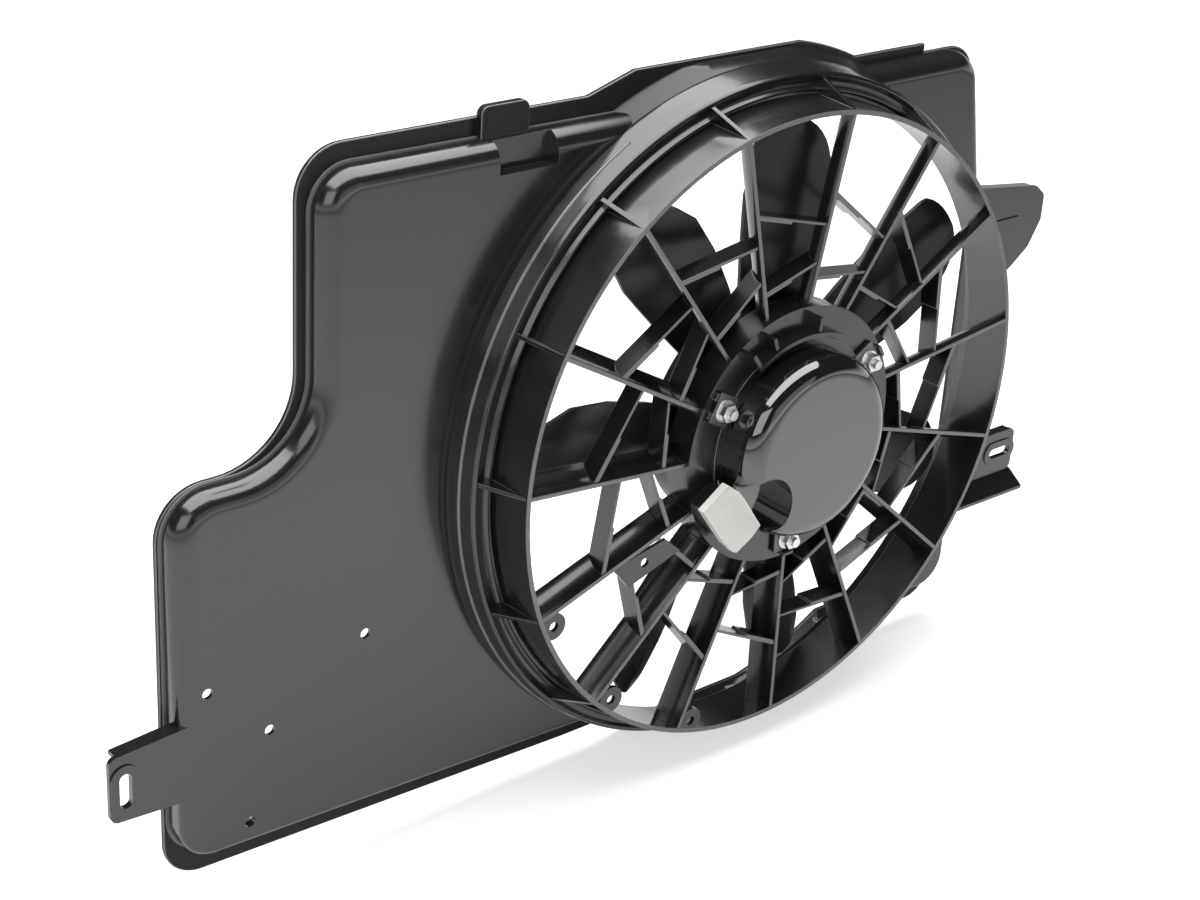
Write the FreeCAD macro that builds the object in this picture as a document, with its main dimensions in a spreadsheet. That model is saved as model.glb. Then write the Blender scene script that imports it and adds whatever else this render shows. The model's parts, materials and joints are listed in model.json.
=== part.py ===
"""Radiator fan shroud with its electric cooling fan.

The moulded shroud is a shallow pan that seals against the radiator, a deep
ring round the fan, fifteen curved vanes and a motor plate. The motor stands
in front of the plate and turns the fan inside the ring.

Frame: X to the right as seen from the engine side, Y towards the radiator,
Z up. The origin is on the fan axis in the plane that seals on the radiator.
"""

import FreeCAD
import Part
import math
import os
import Sketcher

doc = FreeCAD.newDocument("radiator_fan_shroud")
sheet = doc.addObject("Spreadsheet::Sheet", "Sizes")

# Driving sizes in millimetres, angles in degrees.
SIZES = {
    # ring round the fan
    "shroud_depth": 66,
    "rim_radius": 200,
    "ring_wall": 3,
    "barrel_length": 31,
    "barrel_flare": 1.5,
    "step_width": 12,
    "drum_step": 3.5,
    "drum_flare": 6,
    "drum_margin": 2,
    "gusset_thickness": 2.5,
    # pan that seals on the radiator
    "deck_height": 18,
    "pan_wall": 2.5,
    "deck_round": 12,
    "deck_edge": 4,
    "round_from": -150,
    "round_to": 20,
    "pan_left": 391,
    "pan_bottom": 181,
    "pan_bottom_right": 191,
    "bottom_bend": 110,
    "pan_top": 199,
    "notch_left": 301,
    "notch_height": 38.5,
    "pan_right": 223.6,
    "pan_right_top": 193.6,
    "slope_height": 60,
    "bottom_corner": 22,
    "notch_corner": 27,
    "inner_corner": 48,
    "top_corner": 24,
    "slope_corner": 40,
    "pocket_left": 190,
    "pocket_right": 150,
    "pocket_low": 181,
    "pocket_deep": 8,
    "hole_in_1": 17.5,
    "hole_down_1": 77,
    "hole_in_2": 118.5,
    "hole_down_2": 73,
    "hole_in_3": 56,
    "hole_down_3": 113.5,
    "hole_in_4": 43,
    "hole_down_4": 169,
    # sealing flange
    "flange_thickness": 3,
    "flange_left": 394,
    "flange_bottom": 199,
    "flange_bottom_right": 208,
    "flange_top": 210.5,
    "flange_notch": 309,
    "flange_shelf": 40.6,
    "flange_right": 228,
    "flange_right_top": 199.5,
    "hump_margin": 2,
    "flange_rim": 2.5,
    "hump_left": 84.6,
    "hump_right": 44.7,
    "hump_slope": 34,
    "rail_top": 205,
    "rail_end": 155.5,
    # vanes and their bars
    "vane_count": 15,
    "vane_depth": 16,
    "vane_lean": 7,
    "vane_bow": 2.2,
    "vane_thickness": 2.6,
    "vane_offset": 6.8,
    "vane_phase": 7.25,
    "outer_bar_high": 151,
    "outer_bar_low": 131,
    "inner_bar_high": 108,
    "inner_bar_low": 99,
    "bar_depth": 14,
    "bar_thin": 1.8,
    "bar_thick": 3.2,
    # plate that carries the motor
    "plate_radius": 82.5,
    "plate_thickness": 3,
    "plate_standout": 3,
    "hole_play": 1.5,
    "guard_inset": 16.5,
    "guard_wall": 2.5,
    "guard_height": 9,
    "guard_from": 62,
    "guard_to": 126,
    "ear_across": 16,
    "ear_margin": 9,
    "skirt_wall": 3,
    "stud_inset": 13.5,
    "stud_first": 32,
    "stud_radius": 3,
    "stud_play": 0.3,
    "bracket_sheet": 2,
    "stud_plate": 1,
    "washer_radius": 7,
    "washer_thickness": 1.2,
    "nut_across": 10,
    "nut_height": 5,
    "ear_lip": 4,
    "socket_angle": 213.5,
    "socket_play": 1,
    "connector_width": 42,
    "connector_depth": 21,
    "connector_height": 14,
    "pin_width": 6.3,
    "pin_thickness": 0.8,
    # motor
    "motor_inset": 24,
    "motor_standout": 31,
    "motor_length": 47,
    "can_wall": 2,
    "can_round": 11,
    "scoop_radius": 19,
    "scoop_depth": 14,
    "scoop_across": 43,
    "scoop_down": 28,
    "magnet_thickness": 6.5,
    "air_gap": 0.8,
    "shaft_radius": 5,
    "bearing_radius": 9,
    "bearing_length": 7,
    "bearing_play": 0.03,
    "core_length": 14,
    "core_teeth": 12,
    "commutator_radius": 13,
    "commutator_length": 11,
    "brush_length": 10,
    "brush_height": 6,
    "brush_width": 7,
    # fan
    "blade_count": 7,
    "tip_gap": 7,
    "hub_radius": 70,
    "hub_front": 45,
    "hub_length": 26,
    "hub_wall": 3,
    "blade_rise": 22,
    "blade_thickness": 2.4,
    "blade_phase": 73.5,
    "blade_2_turn": 41,
    "blade_3_turn": 90,
    "blade_4_turn": 155,
    "blade_5_turn": 200,
    "blade_6_turn": 252,
    "blade_7_turn": 305,
    "blade_sweep": 8,
    "blade_spread": 23.5,
    "blade_bow": 2.5,
    # tabs
    "tab_radius": 8.5,
    "tab_hole": 3.2,
    "tab_inset": 8.1,
    "bracket_thickness": 3,
    "slot_width": 7.4,
    "slot_length": 21.5,
    "pad_lift": 1,
    "pad_margin": 5,
    "left_out": 42,
    "left_slot_in": 9,
    "left_slot_down": 118.5,
    "left_low": 137,
    "left_high": 97,
    "right_out": 72.4,
    "right_slot_in": 15,
    "right_slot_down": 108.5,
    "right_low": 125,
    "right_high": 93,
    "right_station": 9,
    "lip_thickness": 2.5,
    "ledge_drop": 9,
    "ledge_reach": 13,
    "wing_out": 62.4,
    "wing_station": 12,
    "wing_high": 103,
    "wing_low": 28,
    "clip_left": 196,
    "clip_right": 163.5,
    "clip_up": 6.5,
    "clip_station": 8,
    "clip_thickness": 5,
    "web_hole": 3,
}


class Size:
    """A length that keeps both its number and its spreadsheet formula."""

    def __init__(self, value, formula):
        self.value = value
        self.formula = formula

    def join(self, other, sign, value):
        other = as_size(other)
        return Size(value, "(" + self.formula + sign + other.formula + ")")

    def __add__(self, other):
        return self.join(other, " + ", self.value + as_size(other).value)

    def __sub__(self, other):
        return self.join(other, " - ", self.value - as_size(other).value)

    def __mul__(self, other):
        return self.join(other, " * ", self.value * as_size(other).value)

    def __truediv__(self, other):
        return self.join(other, " / ", self.value / as_size(other).value)

    def __radd__(self, other):
        return as_size(other) + self

    def __rsub__(self, other):
        return as_size(other) - self

    def __rmul__(self, other):
        return as_size(other) * self

    def __neg__(self):
        return Size(-self.value, "(0 - " + self.formula + ")")


def as_size(number):
    if isinstance(number, Size):
        return number
    return Size(float(number), repr(float(number)))


def fill_sheet():
    for row, (name, value) in enumerate(SIZES.items(), start=1):
        sheet.set("A" + str(row), name.replace("_", " "))
        sheet.set("B" + str(row), str(value))
        sheet.setAlias("B" + str(row), name)
    doc.recompute()
    return {name: Size(float(sheet.get(name)), "Sizes." + name) for name in SIZES}


S = fill_sheet()
ORIGIN = FreeCAD.Vector(0, 0, 0)
TO_Y = FreeCAD.Rotation(FreeCAD.Vector(1, 0, 0), -90)
helpers = []

# Stations along the fan axis, measured from the sealing plane.
RIM_FRONT = -S["shroud_depth"]
STEP = RIM_FRONT + S["barrel_length"]
DECK = -S["deck_height"]
FLANGE = -S["flange_thickness"]
PLATE_FRONT = RIM_FRONT - S["plate_standout"]
PLATE_BACK = PLATE_FRONT + S["plate_thickness"]
VANE_BACK = RIM_FRONT + S["vane_depth"]
MOTOR_FRONT = RIM_FRONT - S["motor_standout"]
MOTOR_BACK = MOTOR_FRONT + S["motor_length"]
HUB_FRONT = -S["hub_front"]
HUB_BACK = HUB_FRONT + S["hub_length"]

# Sizes of the drum and the flange round it, built up from the rim.
DRUM = S["rim_radius"] + S["barrel_flare"] + S["step_width"] + S["drum_step"]
DRUM_FLAT = DRUM + S["drum_margin"]
HUMP = DRUM_FLAT + S["hump_margin"]
DRUM_END = DRUM + S["drum_flare"]

# Circles that follow the rim and the motor plate.
FAN_TIP = S["rim_radius"] - S["ring_wall"] - S["tip_gap"]
TAB_CIRCLE = S["rim_radius"] - S["tab_inset"]
MOTOR = S["plate_radius"] - S["motor_inset"]
STUD_CIRCLE = S["plate_radius"] - S["stud_inset"]
GUARD = S["plate_radius"] - S["guard_inset"]
PLATE_HOLE = MOTOR + S["hole_play"]
EAR_REACH = STUD_CIRCLE + S["ear_margin"]


def bind(thing, target, size):
    thing.setExpression(target, as_size(size).formula)


def hidden(kind, name):
    thing = doc.addObject(kind, name)
    helpers.append(thing)
    return thing


def named(thing, label):
    """Give a finished sub-part its label and take it off the helper list."""
    thing.Label = label
    if thing in helpers:
        helpers.remove(thing)
    return thing


def rod(name, radius, start, end):
    """Cylinder along the fan axis."""
    thing = hidden("Part::Cylinder", name)
    bind(thing, "Radius", radius)
    bind(thing, "Height", as_size(end) - start)
    thing.Placement = FreeCAD.Placement(ORIGIN, TO_Y)
    bind(thing, ".Placement.Base.y", start)
    return thing


def rod_at(name, radius, start, end, x, z):
    thing = rod(name, radius, start, end)
    bind(thing, ".Placement.Base.x", x)
    bind(thing, ".Placement.Base.z", z)
    return thing


def cone(name, first, last, start, end):
    thing = hidden("Part::Cone", name)
    bind(thing, "Radius1", first)
    bind(thing, "Radius2", last)
    bind(thing, "Height", as_size(end) - start)
    thing.Placement = FreeCAD.Placement(ORIGIN, TO_Y)
    bind(thing, ".Placement.Base.y", start)
    return thing


def block(name, low, high):
    """Box between two corners given as sizes."""
    thing = hidden("Part::Box", name)
    for side, axis, start, end in zip(("Length", "Width", "Height"), "xyz", low, high):
        bind(thing, side, as_size(end) - start)
        bind(thing, ".Placement.Base." + axis, start)
    return thing


def spoke_block(name, low, high, angle):
    """Box laid along one radius, turned about the fan axis."""
    thing = hidden("Part::Box", name)
    for side, start, end in zip(("Length", "Width", "Height"), low, high):
        bind(thing, side, as_size(end) - start)
    spin = FreeCAD.Rotation(FreeCAD.Vector(0, 1, 0), -angle)
    corner = FreeCAD.Vector(as_size(low[0]).value, 0, as_size(low[2]).value)
    thing.Placement = FreeCAD.Placement(spin.multVec(corner), spin)
    bind(thing, ".Placement.Base.y", low[1])
    return thing


def cut(name, base, tool):
    thing = hidden("Part::Cut", name)
    thing.Base = base
    thing.Tool = tool
    return thing


def join(name, pieces):
    thing = hidden("Part::MultiFuse", name)
    thing.Shapes = pieces
    return thing


def common(name, pieces):
    thing = hidden("Part::MultiCommon", name)
    thing.Shapes = pieces
    return thing


def origin_plane(body, role):
    for feature in body.Origin.OriginFeatures:
        if feature.Role == role:
            return feature
    raise ValueError("no plane " + role)


def outline_sketch(body, name, role, points):
    """Closed polygon whose corners are bound to the sheet."""
    sketch = body.newObject("Sketcher::SketchObject", name)
    sketch.AttachmentSupport = [(origin_plane(body, role), "")]
    sketch.MapMode = "FlatFace"
    places = [FreeCAD.Vector(as_size(u).value, as_size(v).value, 0) for u, v in points]
    for index, place in enumerate(places):
        sketch.addGeometry(Part.LineSegment(place, places[(index + 1) % len(places)]), False)
    for index in range(len(places)):
        after = (index + 1) % len(places)
        sketch.addConstraint(Sketcher.Constraint("Coincident", index, 2, after, 1))
    for index, (across, up) in enumerate(points):
        for kind, axis, size in (("DistanceX", -2, across), ("DistanceY", -1, up)):
            size = as_size(size)
            if abs(size.value) < 1e-9:
                sketch.addConstraint(Sketcher.Constraint("PointOnObject", index, 1, axis))
                continue
            number = sketch.addConstraint(
                Sketcher.Constraint(kind, -1, 1, index, 1, size.value))
            sketch.setExpression("Constraints[" + str(number) + "]", size.formula)
    return sketch


def new_body(name):
    body = doc.addObject("PartDesign::Body", name)
    helpers.append(body)
    return body


def turned(name, points):
    """Ring or disc about the fan axis from (radius, station) points."""
    body = new_body(name)
    sketch = outline_sketch(body, name + "_profile", "XY_Plane", points)
    turn = body.newObject("PartDesign::Revolution", name + "_turn")
    turn.Profile = sketch
    turn.ReferenceAxis = (sketch, ["V_Axis"])
    turn.Angle = 360
    return body


def slab(name, points, start, end):
    """Flat plate across the fan axis from (x, z) points, between two stations."""
    body = new_body(name)
    sketch = outline_sketch(body, name + "_outline", "XZ_Plane", points)
    pad = body.newObject("PartDesign::Pad", name + "_pad")
    pad.Profile = sketch
    bind(pad, "Length", as_size(end) - start)
    bind(sketch, ".AttachmentOffset.Base.z", -as_size(end))
    return body


def edge_places(edge):
    """Both ends and the middle of an edge."""
    middle = (edge.FirstParameter + edge.LastParameter) / 2
    return [edge.valueAt(edge.FirstParameter), edge.valueAt(middle), edge.valueAt(edge.LastParameter)]


def upright_edges(shape, x, z, reach):
    """Names of the edges that run along the fan axis near one corner."""
    levels = [vertex.Point.y for vertex in shape.Vertexes]
    depth = max(levels) - min(levels)
    names = []
    for number, edge in enumerate(shape.Edges, start=1):
        places = edge_places(edge)
        if abs(places[0].y - places[2].y) < 0.9 * depth:
            continue
        if all(abs(place.x - x) < reach and abs(place.z - z) < reach for place in places):
            names.append("Edge" + str(number))
    return names


def round_edges(body, name, radius, edges):
    before = body.Tip
    fillet = body.newObject("PartDesign::Fillet", name)
    fillet.Base = (before, edges)
    bind(fillet, "Radius", radius)
    body.Tip = fillet
    doc.recompute()
    return fillet


def round_corner(body, name, point, radius):
    doc.recompute()
    x = as_size(point[0]).value
    z = as_size(point[1]).value
    round_edges(body, name, radius, upright_edges(body.Shape, x, z, 4))


def end_edges(shape, station):
    """Names of the edges that lie in the plane of one station."""
    names = []
    for number, edge in enumerate(shape.Edges, start=1):
        if all(abs(place.y - station) < 0.01 for place in edge_places(edge)):
            names.append("Edge" + str(number))
    return names


def pan_block(name, inset, back):
    """Solid of the pan, drawn in from its outside by one wall or none."""
    left = -S["pan_left"] + inset
    top = S["pan_top"] - inset
    notch = -S["notch_left"] + inset
    shelf = S["notch_height"] - inset
    right = S["pan_right"] - inset
    right_top = S["pan_right_top"] - inset
    low = -S["pan_bottom_right"] + inset
    corners = [
        (left, -S["pan_bottom"] + inset, S["bottom_corner"] - inset),
        (left, shelf, S["notch_corner"] - inset),
        (notch, shelf, S["inner_corner"] + inset),
        (notch, top, S["top_corner"] - inset),
        (right_top, top, S["top_corner"] - inset),
        (right, S["slope_height"], S["slope_corner"] - inset),
        (right, low, S["bottom_corner"] - inset),
    ]
    points = [(x, z) for x, z, corner in corners] + [(-S["bottom_bend"], low)]
    body = slab(name, points, DECK + inset, back)
    for index, (x, z, corner) in enumerate(corners):
        round_corner(body, name + "_corner" + str(index + 1), (x, z), corner)
    return body


def shoulder_radius(z):
    """Radius of the deck's edge: crisp at the bottom and full from the notch up."""
    share = (z - SIZES["round_from"]) / (SIZES["round_to"] - SIZES["round_from"])
    share = min(1, max(0, share))
    return SIZES["deck_edge"] + (SIZES["deck_round"] - SIZES["deck_edge"]) * share


def rounded_deck(name, body, station):
    """The pan block with its deck edge rounded, each edge from its own height."""
    doc.recompute()
    fillet = hidden("Part::Fillet", name)
    fillet.Base = body
    rows = []
    for number, edge in enumerate(body.Shape.Edges, start=1):
        if all(abs(place.y - station) < 0.01 for place in edge_places(edge)):
            first = shoulder_radius(edge.Vertexes[-1].Point.z)
            last = shoulder_radius(edge.Vertexes[0].Point.z)
            rows.append((number, first, last))
    fillet.Edges = rows
    return fillet


def pocket(name, grow):
    """Notch pressed into the top shoulder of the pan."""
    return block(name, (-S["pocket_left"] - grow, DECK - 1, S["pocket_low"] - grow),
                 (-S["pocket_right"] + grow, DECK + S["pocket_deep"] + grow, S["pan_top"] + 5))


def drum_solid(name, inset):
    """Flared drum behind the deck, cut flat above and below."""
    first = DRUM - inset
    flare = cone(name + "_flare", first, first + S["drum_flare"], DECK + S["pan_wall"], FLANGE)
    half = DRUM_FLAT - inset
    wide = DRUM_END
    flats = block(name + "_flats", (-wide, DECK, -half), (wide, 0, half))
    return common(name, [flare, flats])


def shroud_panel():
    """Pan with its deck, walls and the round hole for the ring."""
    plain = rounded_deck("pan_rounded", pan_block("pan_outline", as_size(0), FLANGE), DECK.value)
    outer = cut("pan_outer", plain, pocket("pocket_outer", as_size(0)))
    hollow = pan_block("pan_hollow", S["pan_wall"], as_size(0))
    doc.recompute()
    front = (DECK + S["pan_wall"]).value
    bevel = hollow.newObject("PartDesign::Chamfer", "pan_hollow_bevel")
    bevel.Base = (doc.getObject("pan_hollow_corner7"), end_edges(hollow.Shape, front))
    bind(bevel, "Size", S["deck_edge"] - 1)
    hollow.Tip = bevel
    inner = cut("pan_inner", hollow, pocket("pocket_inner", S["pan_wall"]))
    shell = cut("pan_shell", outer, inner)
    hole = rod("pan_hole", DRUM, DECK - 1, DECK + S["pan_wall"])
    clear = drum_solid("drum_void", S["pan_wall"])
    open_shell = cut("pan_open", shell, join("pan_tools", [hole, clear]))
    holes = []
    for number in ("1", "2", "3", "4"):
        holes.append(rod_at("pan_drill" + number, S["tab_hole"], DECK - 1, FLANGE,
                            S["hole_in_" + number] - S["pan_left"], -S["hole_down_" + number]))
    named(cut("shroud_panel", open_shell, join("pan_drills", holes)), "shroud_panel")
    return outer, clear, hollow


def drum_skirt(outer, clear):
    """Drum wall behind the deck, wherever it stands out past the pan."""
    full = drum_solid("drum_outer", as_size(0))
    shell = cut("drum_shell", full, clear)
    named(cut("drum_skirt", shell, outer), "drum_skirt")


def seal_flange(hollow):
    """Flat frame that seals on the radiator and follows the drum over the top."""
    left = -S["flange_left"]
    top = S["flange_top"]
    hump = HUMP
    notch = -S["flange_notch"]
    shelf = S["flange_shelf"]
    rail = S["rail_top"]
    points = [
        (left, -S["flange_bottom"]), (left, shelf), (notch, shelf), (notch, top),
        (-S["hump_left"] - S["hump_slope"], top), (-S["hump_left"], hump),
        (S["hump_right"], hump), (S["hump_right"] + 1.45 * S["hump_slope"], rail),
        (S["rail_end"], rail), (S["rail_end"], S["flange_right_top"]),
        (S["flange_right_top"], S["flange_right_top"]),
        (S["flange_right"], S["slope_height"]), (S["flange_right"], -S["flange_bottom_right"]),
        (-S["bottom_bend"], -S["flange_bottom_right"]),
    ]
    body = slab("flange_plate", points, FLANGE, 0)
    corners = ((0, S["bottom_corner"] + 2), (1, S["notch_corner"] + 2), (2, S["inner_corner"]),
               (3, S["top_corner"] + 4), (10, S["bottom_corner"]), (12, S["bottom_corner"]))
    for index, radius in corners:
        round_corner(body, "flange_corner" + str(index), points[index], radius)
    wide = DRUM_END + S["flange_rim"]
    disc = rod("flange_round", wide, FLANGE, 0)
    flats = block("flange_flats", (-wide, FLANGE, -HUMP), (wide, 0, hump))
    plate = join("flange_full", [body, common("flange_disc", [disc, flats])])
    reach = DRUM_END - S["pan_wall"]
    opening = rod("flange_opening", reach, FLANGE, 0)
    half = DRUM_FLAT - S["pan_wall"]
    level = block("flange_level", (-reach, FLANGE, -half), (reach, 0, half))
    round_part = common("flange_bore", [opening, level])
    named(cut("seal_flange", plate, join("flange_tools", [hollow, round_part])), "seal_flange")


def fan_ring():
    """Barrel round the fan, stepped out to the drum, with a gusset at each vane."""
    rim = S["rim_radius"]
    wall = S["ring_wall"]
    barrel = rim + S["barrel_flare"]
    step = barrel + S["step_width"]
    back = DECK + S["pan_wall"]
    body = turned("ring_turned", [
        (rim, RIM_FRONT), (barrel, STEP), (step, STEP + 2),
        (DRUM, DECK), (DRUM, back),
        (DRUM - wall, back), (step - wall, STEP + 2 + wall),
        (barrel - wall, STEP + wall), (rim - wall, RIM_FRONT),
    ])
    doc.recompute()
    blank = body.newObject("Sketcher::SketchObject", "gusset_profile")
    blank.AttachmentSupport = [(origin_plane(body, "XY_Plane"), "")]
    blank.MapMode = "FlatFace"
    corners = [(rim - 0.5, RIM_FRONT), (step - 0.5, STEP + 2.5), (barrel - 0.5, STEP + 2.5)]
    places = [FreeCAD.Vector(u.value, v.value, 0) for u, v in corners]
    for index, place in enumerate(places):
        blank.addGeometry(Part.LineSegment(place, places[(index + 1) % 3]), False)
    pad = body.newObject("PartDesign::Pad", "gusset")
    pad.Profile = blank
    pad.Midplane = True
    bind(pad, "Length", S["gusset_thickness"])
    pattern = body.newObject("PartDesign::PolarPattern", "gussets")
    pattern.Originals = [pad]
    pattern.Axis = (blank, ["V_Axis"])
    pattern.Angle = 360
    pattern.Occurrences = SIZES["vane_count"]
    body.Tip = pattern
    body.Placement.Rotation = FreeCAD.Rotation(FreeCAD.Vector(0, 1, 0), -SIZES["vane_phase"] - 1.95)
    return named(body, "fan_ring")


def turned_copies(shape, count, first, y_axis=FreeCAD.Vector(0, 1, 0)):
    """Copies of one shape, spaced evenly round the fan axis."""
    copies = []
    for index in range(count):
        piece = shape.copy()
        piece.rotate(ORIGIN, y_axis, -(first + index * 360.0 / count))
        copies.append(piece)
    return copies


def feature(name, shape):
    thing = doc.addObject("Part::Feature", name)
    thing.Shape = shape
    return thing


def strip_face(start, middle, end, thickness, x):
    """Curved strip section at one x, through three (z, y) points."""
    def arc(shift):
        pins = [FreeCAD.Vector(x, y, z + shift) for z, y in (start, middle, end)]
        return Part.Arc(*pins).toShape()
    low = arc(-thickness / 2)
    high = arc(thickness / 2)
    sides = [Part.LineSegment(low.valueAt(low.FirstParameter), high.valueAt(high.FirstParameter)),
             Part.LineSegment(low.valueAt(low.LastParameter), high.valueAt(high.LastParameter))]
    edges = Part.__sortEdges__([low, sides[1].toShape(), high, sides[0].toShape()])
    return Part.Face(Part.Wire(edges))


def tube(outer, inner, start, end):
    along = FreeCAD.Vector(0, 1, 0)
    base = FreeCAD.Vector(0, start, 0)
    full = Part.makeCylinder(outer, end - start, base, along)
    return full.cut(Part.makeCylinder(inner, end - start, base, along))


def flat_piece(corners, front, thickness):
    """Flat plate across the fan axis from (x, z) corners."""
    ring = [FreeCAD.Vector(x, front, z) for x, z in corners]
    face = Part.Face(Part.makePolygon(ring + ring[:1]))
    return face.extrude(FreeCAD.Vector(0, thickness, 0))


def rounded_at(shape, radius, corners):
    """Round the edges along the fan axis at some (x, z) corners."""
    edges = []
    for edge in shape.Edges:
        for x, z in corners:
            if all(math.hypot(place.x - x, place.z - z) < 0.01 for place in edge_places(edge)):
                edges.append(edge)
    return shape.makeFillet(radius, edges)


def slot_piece(centre, radius, length, upright, front, depth):
    """Round-ended bar along the fan axis, upright or lying."""
    reach = length / 2 - radius
    side = FreeCAD.Vector(0, 0, reach) if upright else FreeCAD.Vector(reach, 0, 0)
    half = side + (FreeCAD.Vector(radius, 0, 0) if upright else FreeCAD.Vector(0, 0, radius))
    place = FreeCAD.Vector(centre[0], front, centre[1])
    bar = Part.makeBox(2 * half.x, depth, 2 * half.z, place - half)
    along = FreeCAD.Vector(0, 1, 0)
    ends = [Part.makeCylinder(radius, depth, place + side * sign, along) for sign in (-1, 1)]
    return bar.fuse(ends).removeSplitter()


def vane_shapes(ring, plate):
    """Curved vanes from the motor plate to the ring."""
    front = RIM_FRONT.value
    back = VANE_BACK.value
    offset = SIZES["vane_offset"]
    lean = SIZES["vane_lean"]
    start = (offset, front)
    middle = (offset - lean / 2 + SIZES["vane_bow"], (front + back) / 2)
    end = (offset - lean, back)
    inner = SIZES["plate_radius"] - SIZES["skirt_wall"]
    face = strip_face(start, middle, end, SIZES["vane_thickness"], inner - 2)
    blade = face.extrude(FreeCAD.Vector(SIZES["rim_radius"] - inner + 4, 0, 0))
    room = tube(SIZES["rim_radius"], inner, front, back)
    blade = blade.common(room).cut(plate)
    vanes = turned_copies(blade, SIZES["vane_count"], SIZES["vane_phase"])
    return [vane.cut(ring) for vane in vanes]


def bar_between(first, second, front, back):
    """Straight bar from one vane to the next, thin then thick past a step."""
    low = FreeCAD.Vector(first[0], 0, first[1])
    high = FreeCAD.Vector(second[0], 0, second[1])
    along = (high - low).normalize()
    side = along.cross(FreeCAD.Vector(0, 1, 0))
    middle = (low + high) * 0.5
    thin = SIZES["bar_thin"] / 2
    thick = SIZES["bar_thick"] - thin
    low = low - along * 8
    high = high + along * 8
    corners = [low - side * thin, middle - side * thin, high - side * thin,
               high + side * thick, middle + side * thick, middle + side * thin,
               low + side * thin]
    shift = FreeCAD.Vector(0, front, 0)
    corners = [corner + shift for corner in corners]
    face = Part.Face(Part.makePolygon(corners + corners[:1]))
    return face.extrude(FreeCAD.Vector(0, back - front, 0))


def bar_shapes(vanes, at_first, at_second, front):
    """One bar in each space between vanes, trimmed against both of them."""
    step = 360.0 / SIZES["vane_count"]
    back = front + SIZES["bar_depth"]
    bars = []
    for index in range(SIZES["vane_count"]):
        ends = []
        for turn, radius in ((0, at_first), (1, at_second)):
            lean = math.degrees(math.asin(SIZES["vane_offset"] / radius))
            angle = math.radians(SIZES["vane_phase"] + lean + (index + turn) * step)
            ends.append((radius * math.cos(angle), radius * math.sin(angle)))
        bar = bar_between(ends[0], ends[1], front, back)
        for vane in (vanes[index], vanes[(index + 1) % len(vanes)]):
            bar = bar.cut(vane)
        bars.append(biggest(bar))
    return bars


def vanes_and_bars(ring, plate):
    vanes = vane_shapes(ring.Shape, plate.Shape)
    feature("stator_vanes", Part.Compound(vanes))
    front = RIM_FRONT.value + 1
    outer = bar_shapes(vanes, SIZES["outer_bar_low"], SIZES["outer_bar_high"], front)
    inner = bar_shapes(vanes, SIZES["inner_bar_high"], SIZES["inner_bar_low"], front)
    feature("outer_crossbars", Part.Compound(outer))
    feature("inner_crossbars", Part.Compound(inner))


def wedge(name, radius, start, end, first, last):
    """The part of a rod between two named angles."""
    thing = rod(name, radius, start, end)
    spin = FreeCAD.Rotation(FreeCAD.Vector(0, 1, 0), -SIZES[last])
    thing.Placement.Rotation = spin.multiply(TO_Y)
    bind(thing, "Angle", S[last] - S[first])
    return thing


def motor_plate():
    """Round plate on the inner ends of the vanes, with a skirt, studs and a guard wall."""
    edge = S["plate_radius"]
    wall = S["skirt_wall"]
    body = turned("plate_turned", [
        (PLATE_HOLE, PLATE_FRONT), (edge, PLATE_FRONT), (edge, VANE_BACK),
        (edge - wall, VANE_BACK), (edge - wall, PLATE_BACK), (PLATE_HOLE, PLATE_BACK),
    ])
    inner = GUARD
    outer = inner + S["guard_wall"]
    top = PLATE_FRONT - S["guard_height"]
    sector = wedge("guard_sector", outer, top, PLATE_FRONT, "guard_from", "guard_to")
    guard = cut("guard", sector, rod("guard_inside", inner, top, PLATE_FRONT))
    half = S["guard_wall"] / 2
    ribs = [spoke_block("guard_end", (inner, top, -half), (edge - wall, PLATE_FRONT, half),
                        SIZES["guard_to"] - 1)]
    for index, share in enumerate((0.33, 0.78)):
        angle = SIZES["guard_from"] + (SIZES["guard_to"] - SIZES["guard_from"]) * share
        ribs.append(spoke_block("guard_rib" + str(index), (outer - 0.5, top + half, -half),
                                (outer + S["guard_height"], PLATE_FRONT, half), angle))
    drills = stud_row("plate_drill", S["stud_radius"] + S["stud_play"], PLATE_FRONT, PLATE_BACK)
    whole = join("plate_whole", [body, guard] + ribs)
    return named(cut("motor_plate", whole, join("plate_drills", drills)), "motor_plate")


def stud_row(name, radius, start, end):
    """One rod at each of the three studs."""
    row = []
    for index in range(3):
        angle = math.radians(SIZES["stud_first"] + index * 120)
        x = STUD_CIRCLE * math.cos(angle)
        z = STUD_CIRCLE * math.sin(angle)
        row.append(rod_at(name + str(index + 1), radius, start, end, x, z))
    return row


def hex_row(name, across, start, end, hole):
    """One hexagon nut at each stud."""
    radius = as_size(across).value / math.sqrt(3)
    bore = as_size(hole).value
    first = as_size(start).value
    last = as_size(end).value
    nuts = []
    for index in range(3):
        angle = math.radians(SIZES["stud_first"] + index * 120)
        centre = FreeCAD.Vector(STUD_CIRCLE.value * math.cos(angle), first,
                                STUD_CIRCLE.value * math.sin(angle))
        ring = [centre + FreeCAD.Vector(radius * math.cos(turn * math.pi / 3), 0,
                                        radius * math.sin(turn * math.pi / 3))
                for turn in range(7)]
        along = FreeCAD.Vector(0, last - first, 0)
        nut = Part.Face(Part.makePolygon(ring)).extrude(along)
        nuts.append(nut.cut(Part.makeCylinder(bore, last - first, centre, along)))
    return feature(name, Part.Compound(nuts))


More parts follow.
